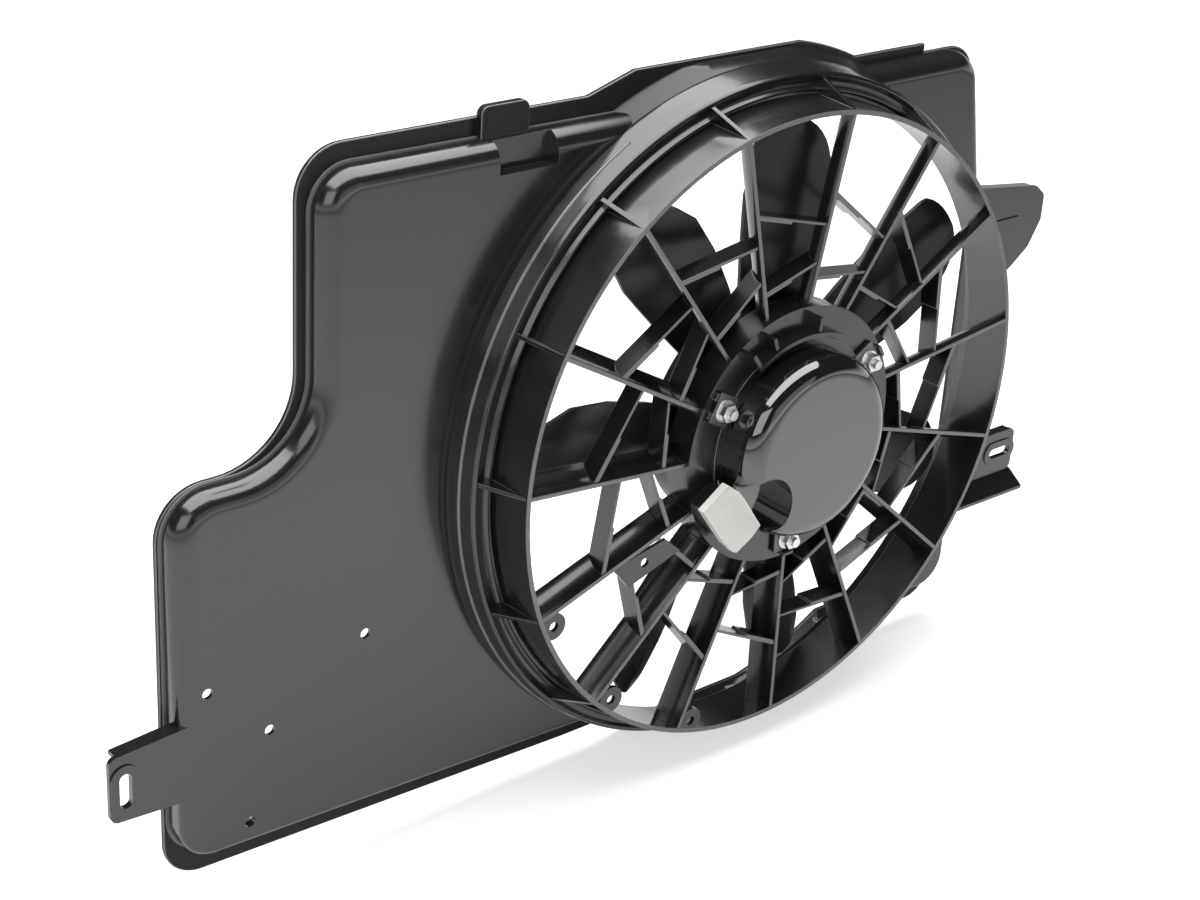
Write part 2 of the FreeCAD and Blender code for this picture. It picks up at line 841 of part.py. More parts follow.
def motor_fixings():
    """Bracket on the can, studs, plates, washers and nuts."""
    stud = S["stud_radius"]
    bore = stud + S["stud_play"]
    sheet_back = PLATE_FRONT
    sheet_front = sheet_back - S["bracket_sheet"]
    plate_front = sheet_front - S["stud_plate"]
    washer_front = plate_front - S["washer_thickness"]
    nut_front = washer_front - S["nut_height"]
    half = S["ear_across"] / 2
    reach = EAR_REACH
    bracket = rod("bracket_disc", PLATE_HOLE + 4, sheet_front, sheet_back)
    ears = []
    plates = []
    for index in range(3):
        angle = SIZES["stud_first"] + index * 120
        number = str(index + 1)
        ears.append(spoke_block("bracket_ear" + number, (MOTOR, sheet_front, -half),
                                (reach, sheet_back, half), angle))
        ears.append(spoke_block("bracket_lip" + number, (reach, sheet_front - S["ear_lip"], -half / 2),
                                (reach + S["bracket_sheet"], sheet_back, half / 2), angle))
        plates.append(spoke_block("stud_sheet" + number,
                                  (STUD_CIRCLE - half, plate_front, -1.2 * half),
                                  (STUD_CIRCLE + half, sheet_front, 1.2 * half), angle))
    hole = rod("bracket_hole", MOTOR, sheet_front, sheet_back)
    room = S["connector_width"] / 2 + 0.4
    gap = spoke_block("bracket_gap", (STUD_CIRCLE - 20, sheet_front, -room),
                      (STUD_CIRCLE + 20, sheet_back, room), SIZES["socket_angle"])
    drills = stud_row("bracket_drill", bore, sheet_front, sheet_back)
    blank = join("bracket_blank", [bracket] + ears)
    named(cut("motor_bracket", blank, join("bracket_tools", [hole, gap] + drills)), "motor_bracket")
    sheet_bores = join("sheet_bores", stud_row("sheet_bore", bore, plate_front, sheet_front))
    named(cut("stud_plates", join("stud_sheets", plates), sheet_bores), "stud_plates")
    discs = join("washer_discs", stud_row("washer_disc", S["washer_radius"], washer_front, plate_front))
    bores = join("washer_bores", stud_row("washer_bore", bore, washer_front, plate_front))
    named(cut("stud_washers", discs, bores), "stud_washers")
    hex_row("stud_nuts", S["nut_across"], nut_front, washer_front, stud)
    head_back = PLATE_BACK + S["bracket_sheet"]
    heads = stud_row("stud_head", stud * 2, PLATE_BACK, head_back)
    shanks = stud_row("stud_shank", stud, nut_front - stud, head_back)
    named(join("motor_studs", heads + shanks), "motor_studs")


def scoop(name, grow):
    """Hollow at the lower left of the can, beside the connector."""
    back = MOTOR_FRONT + S["scoop_depth"] + grow
    return rod_at(name, S["scoop_radius"] + grow, MOTOR_FRONT - 1, back,
                  -S["scoop_across"], -S["scoop_down"])


def can_block(name, inset):
    """The can's outside, or its inside when drawn in by one wall."""
    radius = MOTOR - inset
    front = MOTOR_FRONT + inset
    if inset.value:
        bend = S["can_round"] / 2
        return turned(name, [
            (0, front), (radius - bend, front), (radius, front + bend), (radius, MOTOR_BACK),
            (0, MOTOR_BACK),
        ])
    body = turned(name, [(0, front), (radius, front), (radius, MOTOR_BACK), (0, MOTOR_BACK)])
    doc.recompute()
    round_edges(body, name + "_round", S["can_round"], end_edges(body.Shape, front.value))
    return body


def motor_can():
    """Deep drawn can, closed at the front, with the scoop pressed into it."""
    outer = cut("can_outer", can_block("can_outer_block", as_size(0)), scoop("scoop_out", as_size(0)))
    inner = cut("can_inner", can_block("can_inner_block", S["can_wall"]),
                scoop("scoop_in", S["can_wall"]))
    named(cut("motor_can", outer, inner), "motor_can")


def motor_inside():
    """Magnets, armature, commutator, brushes and bearings in the can."""
    inner = MOTOR.value - SIZES["can_wall"]
    back = MOTOR_BACK.value
    front = MOTOR_FRONT.value + SIZES["can_wall"]
    bearing = SIZES["bearing_length"]
    plate_front = back - 2.5
    bars_front = front + bearing + 0.4
    bars_back = bars_front + SIZES["commutator_length"]
    core_front = bars_back + 4
    core_back = core_front + SIZES["core_length"]
    magnet_in = inner - SIZES["magnet_thickness"]
    magnets = []
    ring = tube(inner, magnet_in, core_front - 1, core_back + 1)
    for index in range(4):
        wedge = Part.makeCylinder(inner + 5, 40, FreeCAD.Vector(0, core_front - 5, 0),
                                  FreeCAD.Vector(0, 1, 0), 72)
        wedge.rotate(ORIGIN, FreeCAD.Vector(0, 1, 0), 9 + index * 90)
        magnets.append(ring.common(wedge))
    feature("field_magnets", Part.Compound(magnets))
    shaft = SIZES["shaft_radius"]
    core_radius = magnet_in - SIZES["air_gap"]
    core = tube(core_radius, shaft, core_front, core_back)
    count = SIZES["core_teeth"]
    slot = Part.makeBox(9, SIZES["core_length"], 5, FreeCAD.Vector(core_radius - 14, core_front, -2.5))
    mouth = Part.makeBox(10, SIZES["core_length"], 2, FreeCAD.Vector(core_radius - 6, core_front, -1))
    for piece in turned_copies(slot.fuse(mouth), count, 0):
        core = core.cut(piece)
    feature("armature_core", core)
    ends = [tube(core_radius - 6, 20, core_front - 4, core_front),
            tube(core_radius - 6, 20, core_back, core_back + 4)]
    coil = Part.makeBox(8.6, SIZES["core_length"], 4.6,
                        FreeCAD.Vector(core_radius - 13.8, core_front, -2.3))
    coils = turned_copies(coil, count, 0)
    windings = ends[0].fuse([ends[1]] + coils)
    feature("armature_windings", windings)
    copper = SIZES["commutator_radius"]
    feature("commutator", tube(copper, shaft, bars_front, bars_back))
    brushes = []
    springs = []
    holders = []
    level = (bars_front + bars_back) / 2
    long = SIZES["brush_length"]
    tall = SIZES["brush_height"]
    wide = SIZES["brush_width"]
    for sign in (1, -1):
        near = copper + 0.3
        brush = Part.makeBox(long, tall, wide, FreeCAD.Vector(near, level - tall / 2, -wide / 2))
        spring = Part.makeCylinder(0.4 * tall, 0.8 * long, FreeCAD.Vector(near + long, level, 0),
                                   FreeCAD.Vector(1, 0, 0))
        box = Part.makeBox(2 * long, 1.5 * tall, tall / 2 + wide,
                           FreeCAD.Vector(near + 1, level - 0.75 * tall, -tall / 4 - wide / 2))
        room = Part.makeBox(1.8 * long, tall, wide, FreeCAD.Vector(near, level - tall / 2, -wide / 2))
        holder = box.cut(room)
        for pile, piece in ((brushes, brush), (springs, spring), (holders, holder)):
            turned_piece = piece.copy()
            turned_piece.rotate(ORIGIN, FreeCAD.Vector(0, 1, 0), 90 - 90 * sign)
            pile.append(turned_piece)
    feature("carbon_brushes", Part.Compound(brushes))
    feature("brush_springs", Part.Compound(springs))
    card_front = level - 0.75 * tall - 2
    card = tube(inner - 0.7, copper + 2, card_front, card_front + 2)
    clear = Part.makeCylinder(SIZES["scoop_radius"] + SIZES["can_wall"] + 0.3, 30,
                              FreeCAD.Vector(-SIZES["scoop_across"], front - 2, -SIZES["scoop_down"]),
                              FreeCAD.Vector(0, 1, 0))
    feature("brush_card", card.cut(clear))
    feature("brush_holders", Part.Compound(holders))
    play = SIZES["bearing_play"]
    radius = SIZES["bearing_radius"]
    feature("front_bearing", tube(radius, shaft + play, front, front + bearing))
    feature("rear_bearing", tube(radius, shaft + play, back - bearing, back))
    plate = tube(inner, radius, plate_front, back)
    collar = tube(radius + 2.5, radius, back - bearing, plate_front)
    feature("motor_end_plate", plate.fuse(collar))
    tail = HUB_BACK.value + 6
    feature("motor_shaft", Part.makeCylinder(shaft, tail - front - 1, FreeCAD.Vector(0, front + 1, 0),
                                             FreeCAD.Vector(0, 1, 0)))


def connector():
    """Two-pole socket on the plate beside the scoop."""
    wide = SIZES["connector_width"]
    tall = SIZES["connector_height"]
    deep = SIZES["connector_depth"]
    front = PLATE_FRONT.value - tall
    near = MOTOR.value + SIZES["socket_play"]
    wall = 2
    shell = Part.makeBox(deep, tall, wide, FreeCAD.Vector(near, front, -wide / 2))
    mouth = Part.makeBox(deep - 7, tall - 3 * wall, wide - 4 * wall,
                         FreeCAD.Vector(near + 8, front + 1.5 * wall, -wide / 2 + 2 * wall))
    latch = Part.makeBox(deep - 5, wall, wide / 4, FreeCAD.Vector(near + 5, front - wall, -wide / 8))
    ribs = [Part.makeBox(deep - 9, 1, wall, FreeCAD.Vector(near + 9, front - 1, side * wide / 3 - 1))
            for side in (-1, 1)]
    shell = shell.cut(mouth).fuse([latch] + ribs)
    pin_wide = SIZES["pin_width"]
    pin_tall = SIZES["pin_thickness"]
    level = front + tall / 2 - pin_tall / 2
    pins = []
    for side in (-1, 1):
        pins.append(Part.makeBox(deep / 2, pin_tall, pin_wide,
                                 FreeCAD.Vector(near + 8, level, side * wide / 5 - pin_wide / 2)))
    for piece in [shell] + pins:
        piece.rotate(ORIGIN, FreeCAD.Vector(0, 1, 0), -SIZES["socket_angle"])
    feature("connector_housing", shell)
    feature("connector_pins", Part.Compound(pins))


def blade_section(radius, start, end, low, high, thickness):
    """Thin bowed section wire whose two ends lie at one radius."""
    middle = math.radians((start + end) / 2)
    half = math.radians((end - start) / 2)
    outward = FreeCAD.Vector(math.cos(middle), 0, math.sin(middle)) * (radius * math.cos(half))
    along = FreeCAD.Vector(-math.sin(middle), 0, math.cos(middle)) * (radius * math.sin(half))
    bow = SIZES["blade_bow"]

    def place(share, lift):
        curve = bow * 4 * share * (1 - share)
        rise = low + (high - low) * share - curve + lift
        return outward + along * (2 * share - 1) + FreeCAD.Vector(0, rise, 0)

    shares = (0, 0.35, 0.7, 1)
    corners = [place(share, 0) for share in shares]
    corners += [place(share, thickness) for share in reversed(shares)]
    return Part.makePolygon(corners + corners[:1])


def fan():
    """Cup hub with seven swept blades."""
    hub = SIZES["hub_radius"]
    front = HUB_FRONT.value
    back = HUB_BACK.value
    shaft = SIZES["shaft_radius"]
    wall = SIZES["hub_wall"]
    cup = Part.makeCylinder(hub, back - front, FreeCAD.Vector(0, front, 0), FreeCAD.Vector(0, 1, 0))
    cup = cup.cut(Part.makeCylinder(hub - wall, back - front, FreeCAD.Vector(0, front + wall, 0),
                                    FreeCAD.Vector(0, 1, 0)))
    boss = Part.makeCylinder(14, back - front - 6, FreeCAD.Vector(0, front, 0),
                             FreeCAD.Vector(0, 1, 0))
    cup = cup.fuse(boss)
    cup = cup.cut(Part.makeCylinder(shaft, back - front + 10, FreeCAD.Vector(0, front - 5, 0),
                                    FreeCAD.Vector(0, 1, 0)))
    feature("fan_hub", cup)
    tip = FAN_TIP.value
    rise = SIZES["blade_rise"]
    sections = []
    for share in (-0.05, 0.25, 0.5, 0.72, 0.9, 1.01):
        radius = hub + (tip - hub) * share
        start = SIZES["blade_sweep"] * (share * share - 0.5) + 4 * max(0, share - 0.7) / 0.3
        end = SIZES["blade_spread"] - 3 * share - 3 * max(0, share - 0.8) / 0.2
        fall = rise * (1 - 0.25 * share)
        low = front + 2 + (rise - fall) / 2
        sections.append(blade_section(radius, start, end, low, low + fall - 3,
                                      SIZES["blade_thickness"]))
    blade = Part.makeLoft(sections, True, True)
    blade = blade.common(tube(tip, hub, front - 10, back + 10))
    blades = []
    count = SIZES["blade_count"]
    for number in range(1, count + 1):
        turn = SIZES["blade_phase"]
        if number > 1:
            turn += SIZES["blade_" + str(number) + "_turn"]
        piece = blade.copy()
        piece.rotate(ORIGIN, FreeCAD.Vector(0, 1, 0), -turn)
        blades.append(piece)
    feature("fan_blades", Part.Compound(blades))
    washer_front = back - 6
    feature("fan_washer", tube(10, shaft, washer_front, washer_front + 1.5))
    corner = [FreeCAD.Vector(8 * math.cos(turn * math.pi / 3), washer_front + 1.5,
                             8 * math.sin(turn * math.pi / 3)) for turn in range(7)]
    nut = Part.Face(Part.makePolygon(corner)).extrude(FreeCAD.Vector(0, 6, 0))
    bore = Part.makeCylinder(shaft, 9, FreeCAD.Vector(0, washer_front, 0), FreeCAD.Vector(0, 1, 0))
    feature("fan_nut", nut.cut(bore))


def ring_tabs(ring, vanes):
    """Three lugs with holes inside the lower left of the rim."""
    front = RIM_FRONT.value
    lugs = []
    for angle in (203.8, 228.2, 251.7):
        turn = math.radians(angle)
        x = TAB_CIRCLE.value * math.cos(turn)
        z = TAB_CIRCLE.value * math.sin(turn)
        along = FreeCAD.Vector(0, 1, 0)
        lug = Part.makeCylinder(SIZES["tab_radius"], 3, FreeCAD.Vector(x, front, z), along)
        lug = lug.cut(Part.makeCylinder(SIZES["tab_hole"], 3, FreeCAD.Vector(x, front, z), along))
        lug = lug.common(Part.makeCylinder(SIZES["rim_radius"] - 1, 3, FreeCAD.Vector(0, front, 0), along))
        lugs.append(biggest(lug.cut([ring, vanes])))
    feature("ring_tabs", Part.Compound(lugs))


def slotted_plate(corners, slot_centre, upright, front):
    """Flat tab with a slot in it and a raised rim round the slot."""
    thickness = SIZES["bracket_thickness"]
    lift = SIZES["pad_lift"]
    radius = SIZES["slot_width"] / 2
    length = SIZES["slot_length"]
    margin = SIZES["pad_margin"]
    plate = rounded_at(flat_piece(corners, front, thickness), margin, corners[:2])
    pad = slot_piece(slot_centre, radius + margin, length + 2 * margin, upright, front - lift, lift)
    slot = slot_piece(slot_centre, radius, length, upright, front - lift, thickness + lift)
    return plate, pad, slot


def left_bracket(outer):
    """Tab at the left of the pan with an upright slot and a rib along each edge."""
    root = -SIZES["pan_left"] + 4 * SIZES["pan_wall"]
    tip = -SIZES["pan_left"] - SIZES["left_out"]
    low = -SIZES["left_low"]
    high = -SIZES["left_high"]
    front = DECK.value
    lip = SIZES["lip_thickness"]
    centre = (tip + SIZES["left_slot_in"], -SIZES["left_slot_down"])
    corners = [(tip, low), (tip, high), (root, high + 4), (root, low - 3)]
    plate, pad, slot = slotted_plate(corners, centre, True, front)
    near = tip + SIZES["pad_margin"]
    top = flat_piece([(near, high), (root, high + 4), (root, high + 4 - lip), (near, high - lip)],
                     front, 4 * lip)
    bottom = flat_piece([(near, low), (root, low - 3), (root, low - 3 + lip), (near, low + lip)],
                        front, 2.5 * lip)
    feature("left_bracket", plate.fuse([pad, top, bottom]).cut([slot, outer]).removeSplitter())


def right_bracket(solids):
    """Tab at the right with a lying slot, a rib along the top and a ledge below."""
    root = SIZES["pan_right"] - 3 * SIZES["pan_wall"]
    tip = SIZES["pan_right"] + SIZES["right_out"]
    low = -SIZES["right_low"]
    high = -SIZES["right_high"]
    front = -SIZES["right_station"]
    lip = SIZES["lip_thickness"]
    centre = (tip - SIZES["right_slot_in"], -SIZES["right_slot_down"])
    corners = [(tip, high), (tip, low), (root, low), (root, high)]
    plate, pad, slot = slotted_plate(corners, centre, False, front)
    far = tip - SIZES["pad_margin"]
    top = flat_piece([(root, high), (far, high), (far, high - lip), (root, high - lip)],
                     front, 3 * lip)
    drop = SIZES["ledge_drop"]
    reach = SIZES["ledge_reach"]
    ring = [FreeCAD.Vector(root, y, z) for y, z in (
        (front + lip, low), (front, low), (front - reach, low - drop),
        (front - reach, low - drop - lip), (front + lip, low - lip))]
    ledge = Part.Face(Part.makePolygon(ring + ring[:1])).extrude(FreeCAD.Vector(tip - root, 0, 0))
    whole = plate.fuse([pad, top, ledge]).cut([slot] + solids)
    feature("right_bracket", biggest(whole.removeSplitter()))


def wing_tab(solids):
    """Stop at the upper right with a folded top edge and a rib."""
    front = -SIZES["wing_station"]
    tip = SIZES["pan_right"] + SIZES["wing_out"]
    root = SIZES["pan_right_top"] + 4 * SIZES["pan_wall"]
    high = SIZES["wing_high"]
    low = SIZES["wing_low"]
    tall = high - low
    wide = SIZES["wing_out"]
    thickness = SIZES["bracket_thickness"]
    lip = SIZES["lip_thickness"]
    bends = [(0.15, 0.13), (0, 0.23), (0, 0.47), (0.16, 0.71), (0.38, 0.85)]
    corners = [(tip - across * wide, high - down * tall) for across, down in bends]
    ring = [(root, high)] + corners + [(tip - 0.66 * wide, low), (root, low)]
    plate = rounded_at(flat_piece(ring, front, thickness), SIZES["pad_margin"], corners)
    end = tip - 0.22 * wide
    drop = 0.12 * tall
    fold = flat_piece([(root, high), (end, high - drop), (end, high - drop - lip), (root, high - lip)],
                      front, 3 * lip)
    rib = Part.makeBox(0.6 * wide, lip / 2, lip,
                       FreeCAD.Vector(SIZES["pan_right"], front - lip / 2, high - 0.41 * tall))
    whole = plate.fuse([fold, rib]).cut(solids)
    feature("wing_tab", biggest(whole.removeSplitter()))


def top_clip(outer):
    """Lug that stands up over the top edge."""
    left = -SIZES["clip_left"]
    right = -SIZES["clip_right"]
    top = SIZES["flange_top"] + SIZES["clip_up"]
    low = SIZES["pan_top"] - 3 * SIZES["pan_wall"]
    front = -SIZES["clip_station"]
    corners = [(left, low), (left, top), (right, top), (right, low)]
    clip = flat_piece(corners, front, SIZES["clip_thickness"])
    clip = rounded_at(clip, SIZES["pad_margin"], corners[1:3])
    feature("top_clip", clip.cut(outer))


def wire_web(vanes, bars):
    """Small web with a tie hole between two vanes, beside the socket."""
    front = RIM_FRONT.value
    thickness = SIZES["lip_thickness"]
    outer = (SIZES["outer_bar_low"] + SIZES["outer_bar_high"]) / 2
    inner = (SIZES["inner_bar_low"] + SIZES["inner_bar_high"]) / 2
    step = 360.0 / SIZES["vane_count"]
    first = SIZES["vane_phase"] + 8 * step

    def polar(radius, share):
        turn = math.radians(first + share * step)
        return radius * math.cos(turn), radius * math.sin(turn)

    web = flat_piece([polar(outer + thickness, 0.11), polar(inner, 0.27),
                      polar(inner - 2 * thickness, 0.63), polar(outer - thickness, 0.44)],
                     front, thickness)
    x, z = polar((outer + inner) / 2, 0.33)
    hole = Part.makeCylinder(SIZES["web_hole"], thickness, FreeCAD.Vector(x, front, z),
                             FreeCAD.Vector(0, 1, 0))
    feature("wire_web", biggest(web.cut([hole, vanes] + bars)))


def biggest(shape):
    return max(shape.Solids, key=lambda solid: solid.Volume)


def build():
    outer, clear, hollow = shroud_panel()
    drum_skirt(outer, clear)
    seal_flange(hollow)
    ring = fan_ring()
    plate = motor_plate()
    doc.recompute()
    vanes_and_bars(ring, plate)
    motor_fixings()
    motor_can()
    motor_inside()
    connector()
    fan()
    doc.recompute()
    vanes = doc.getObject("stator_vanes").Shape
    ring_tabs(ring.Shape, vanes)
    bars = [doc.getObject(name).Shape for name in ("outer_crossbars", "inner_crossbars")]
    wire_web(vanes, bars)
    solids = [outer.Shape, doc.getObject("drum_skirt").Shape, doc.getObject("seal_flange").Shape]
    left_bracket(outer.Shape)
    right_bracket(solids)
    wing_tab(solids)
    top_clip(outer.Shape)
    doc.recompute()


def finished():
    """Sub-parts in the order made, without the shapes they were cut from."""
    kinds = ("PartDesign::Body", "Part::Feature", "Part::Cut", "Part::MultiFuse",
             "Part::MultiCommon")
    return [thing for thing in doc.Objects if thing.TypeId in kinds and thing not in helpers]


def check_and_write():
    for thing in doc.Objects:
        for state in thing.State:
            if state in ("Invalid", "Error"):
                raise ValueError(thing.Name + " is " + state)
    os.makedirs("parts", exist_ok=True)
    pieces = finished()
    for thing in pieces:
        if thing.Shape.isNull() or not thing.Shape.isValid() or not thing.Shape.Solids:
            raise ValueError(thing.Label + " has no valid solid")
    for thing in pieces:
        thing.Shape.exportStep(os.path.join("parts", thing.Label + ".step"))
        print(thing.Label, len(thing.Shape.Solids), round(thing.Shape.Volume))


build()
check_and_write()
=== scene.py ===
"""Radiator fan shroud: finishes, small moulded details, floor, light and view."""

import bpy
import bmesh
import json
import math
from mathutils import Matrix, Vector

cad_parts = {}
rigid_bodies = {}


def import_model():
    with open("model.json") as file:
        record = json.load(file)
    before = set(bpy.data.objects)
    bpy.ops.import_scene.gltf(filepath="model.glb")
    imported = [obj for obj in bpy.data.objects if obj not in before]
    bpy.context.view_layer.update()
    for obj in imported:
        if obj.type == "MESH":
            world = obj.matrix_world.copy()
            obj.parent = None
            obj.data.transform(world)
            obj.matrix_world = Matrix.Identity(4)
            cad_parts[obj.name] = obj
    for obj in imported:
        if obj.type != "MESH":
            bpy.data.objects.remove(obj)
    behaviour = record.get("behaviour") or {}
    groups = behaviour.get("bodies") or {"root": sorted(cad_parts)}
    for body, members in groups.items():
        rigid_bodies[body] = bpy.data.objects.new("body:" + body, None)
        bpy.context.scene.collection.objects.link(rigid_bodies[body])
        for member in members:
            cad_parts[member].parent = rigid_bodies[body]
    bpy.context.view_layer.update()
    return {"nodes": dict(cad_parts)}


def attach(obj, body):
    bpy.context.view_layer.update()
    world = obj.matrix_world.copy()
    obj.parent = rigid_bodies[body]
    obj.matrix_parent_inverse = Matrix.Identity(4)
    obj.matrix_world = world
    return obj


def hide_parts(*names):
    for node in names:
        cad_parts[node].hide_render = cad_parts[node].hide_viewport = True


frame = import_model()
MM = 0.001
MERGE_REACH = 0.00001
SMOOTH_ANGLE = 38

# Millimetres from here: stations lie along the fan axis (Y), outlines are (across, up) pairs.
CAN_RADIUS = 58.5
CAN_FACE = -97
CAN_BACK = -50
SCOOP_PLACE = (-43, -28)
SCOOP_FRONT = -110
SOCKET_FRONT = -85.0
SOCKET_JOINT = -79.5
SOCKET_OUTLINE = [(-34.4, -44.5), (-50.1, -22.4), (-54.8, -16.8), (-64.6, -9.6), (-82.8, -22.4),
                  (-69.7, -40.6), (-64.1, -47.9), (-55.9, -56.3), (-52.5, -57.7), (-41.5, -51.3)]
FOOT_FRONT = -79.6
FOOT_BACK = -68.5
FOOT_OUTLINE = [(-38.0, -43.5), (-63.5, -13.5), (-79.0, -23.5), (-66.0, -41.5), (-53.5, -54.0)]
# The beads' outlines are (radius, station) pairs.
STEP_BEAD = [(202.2, -34.2), (203.3, -36.8), (204.1, -37.6), (204.9, -37.6), (205.5, -36.9),
             (206.6, -35.0), (208.6, -34.7), (210.1, -35.3), (211.3, -36.2), (212.5, -36.4),
             (213.6, -35.7), (214.3, -34.4), (214.7, -32.0), (213.0, -31.6), (202.2, -34.2)]
WALL_BEAD = [(214.6, -22.6), (215.9, -23.6), (216.3, -24.4), (215.9, -25.2), (214.2, -26.0),
             (214.6, -22.6)]
BEAD_SEGMENTS = 240

# The camera fitted to the photograph: its place in metres, and its two directions.
CAMERA_PLACE = (-0.8957, -0.9124, 0.5637)
CAMERA_RIGHT = (0.7623, -0.6444, 0.0604)
CAMERA_AHEAD = (0.6039, 0.6747, -0.4244)
CAMERA_SHIFT = (-0.0130, -0.0085)

bl_info = {
    "name": "Radiator fan shroud",
    "version": (1, 0, 0),
    "blender": (4, 5, 0),
    "location": "View3D > Sidebar > Shroud",
    "description": "Dresses the radiator fan shroud with its finishes and small details",
    "category": "Object",
}


class FinishSizes(bpy.types.PropertyGroup):
    pan_colour: bpy.props.FloatVectorProperty(
        name="Pan colour", description="Moulded black plastic of the pan",
        subtype="COLOR", size=4, default=(0.014, 0.014, 0.0135, 1.0))
    # Paler colour on the pan's rounded edges: a painted highlight.
    pan_edge_highlight_colour: bpy.props.FloatVectorProperty(
        name="Painted pan edge highlight colour", description="Paler colour painted on the pan's rounded edges as a highlight",
        subtype="COLOR", size=4, default=(0.06, 0.06, 0.057, 1.0))
    ring_colour: bpy.props.FloatVectorProperty(
        name="Ring colour", description="Moulded black plastic of the ring, vanes and plate",
        subtype="COLOR", size=4, default=(0.010, 0.010, 0.010, 1.0))
    # Paler colour on the rounded edges and front faces of the ring, vanes, blades, flange and
    # plate: a painted highlight and a painted reflection of the floor.
    ring_edge_highlight_colour: bpy.props.FloatVectorProperty(
        name="Painted ring edge highlight colour", description="Paler colour painted on the ring's edges and fronts as highlight and reflection",
        subtype="COLOR", size=4, default=(0.14, 0.14, 0.135, 1.0))
    fan_colour: bpy.props.FloatVectorProperty(
        name="Fan colour", description="Moulded black plastic of the fan",
        subtype="COLOR", size=4, default=(0.012, 0.012, 0.0125, 1.0))
    # Pale colour of the thin beads: a painted highlight line.
    bead_highlight_colour: bpy.props.FloatVectorProperty(
        name="Painted bead highlight colour", description="Pale line painted along the thin beads of the moulding as a highlight",
        subtype="COLOR", size=4, default=(0.17, 0.17, 0.165, 1.0))
    can_colour: bpy.props.FloatVectorProperty(
        name="Motor paint", description="Gloss black paint on the motor can",
        subtype="COLOR", size=4, default=(0.010, 0.010, 0.010, 1.0))
    socket_colour: bpy.props.FloatVectorProperty(
        name="Socket colour", description="Ivory plastic of the wiring socket",
        subtype="COLOR", size=4, default=(0.93, 0.92, 0.87, 1.0))


class EdgeSizes(bpy.types.PropertyGroup):
    moulded: bpy.props.FloatProperty(
        name="Moulded edge", description="Edge radius of the moulded plastic",
        default=0.0007, unit="LENGTH")
    blade_tip: bpy.props.FloatProperty(
        name="Blade tip corner", description="Radius of the wide corner at each blade's tip",
        default=0.036, unit="LENGTH")
    pressed: bpy.props.FloatProperty(
        name="Pressed edge", description="Edge radius of the pressed steel",
        default=0.0003, unit="LENGTH")


class CanSizes(bpy.types.PropertyGroup):
    shoulder: bpy.props.FloatProperty(
        name="Shoulder radius", description="Bend between the can's face and its wall",
        default=0.0125, unit="LENGTH")
    scoop_radius: bpy.props.FloatProperty(
        name="Scoop radius", description="Radius of the hollow in the can's face",
        default=0.0208, unit="LENGTH")
    scoop_depth: bpy.props.FloatProperty(
        name="Scoop depth", description="Depth of the hollow below the can's face",
        default=0.014, unit="LENGTH")
    scoop_edge: bpy.props.FloatProperty(
        name="Scoop edge", description="Radius pressed along the edges of the hollow",
        default=0.0028, unit="LENGTH")


class StageSizes(bpy.types.PropertyGroup):
    floor_level: bpy.props.FloatProperty(
        name="Floor level", description="Height of the floor, measured up from the fan axis",
        default=-0.222, unit="LENGTH")
    floor_lift: bpy.props.FloatProperty(
        name="Floor lift", description="White added to the floor where it is seen or mirrored",
        default=0.1, subtype="FACTOR")
    floor_white: bpy.props.FloatProperty(
        name="Floor white", description="More white added where the camera sees the near floor",
        default=0.5, subtype="FACTOR")
    room_light: bpy.props.FloatProperty(
        name="Room light", description="Level of the light that comes from all round",
        default=0.12, subtype="FACTOR")
    ceiling: bpy.props.FloatProperty(
        name="Ceiling", description="Level of the dark ceiling in mirrors",
        default=0.02, subtype="FACTOR")
    overhead: bpy.props.FloatProperty(
        name="Overhead softbox", description="Power of the softbox above the object in watts",
        default=50, unit="POWER")
    front_fill: bpy.props.FloatProperty(
        name="Front fill", description="Power of the weak softbox in front in watts",
        default=8, unit="POWER")
    side_fill: bpy.props.FloatProperty(
        name="Side fill", description="Power of the weak softbox on the left in watts",
        default=20, unit="POWER")
    lens: bpy.props.FloatProperty(
        name="Lens", description="Focal length of the camera in millimetres",
        default=67.18, unit="CAMERA")


def new_material(name, specular=0.5):
    """A node material, with its tree and its Principled shader."""
    material = bpy.data.materials.new(name)
    material.use_nodes = True
    tree = material.node_tree
    shader = tree.nodes["Principled BSDF"]
    shader.inputs["Specular IOR Level"].default_value = specular
    return material, tree, shader


def link(tree, source, target):
    """Join two sockets of a node tree."""
    tree.links.new(source, target)


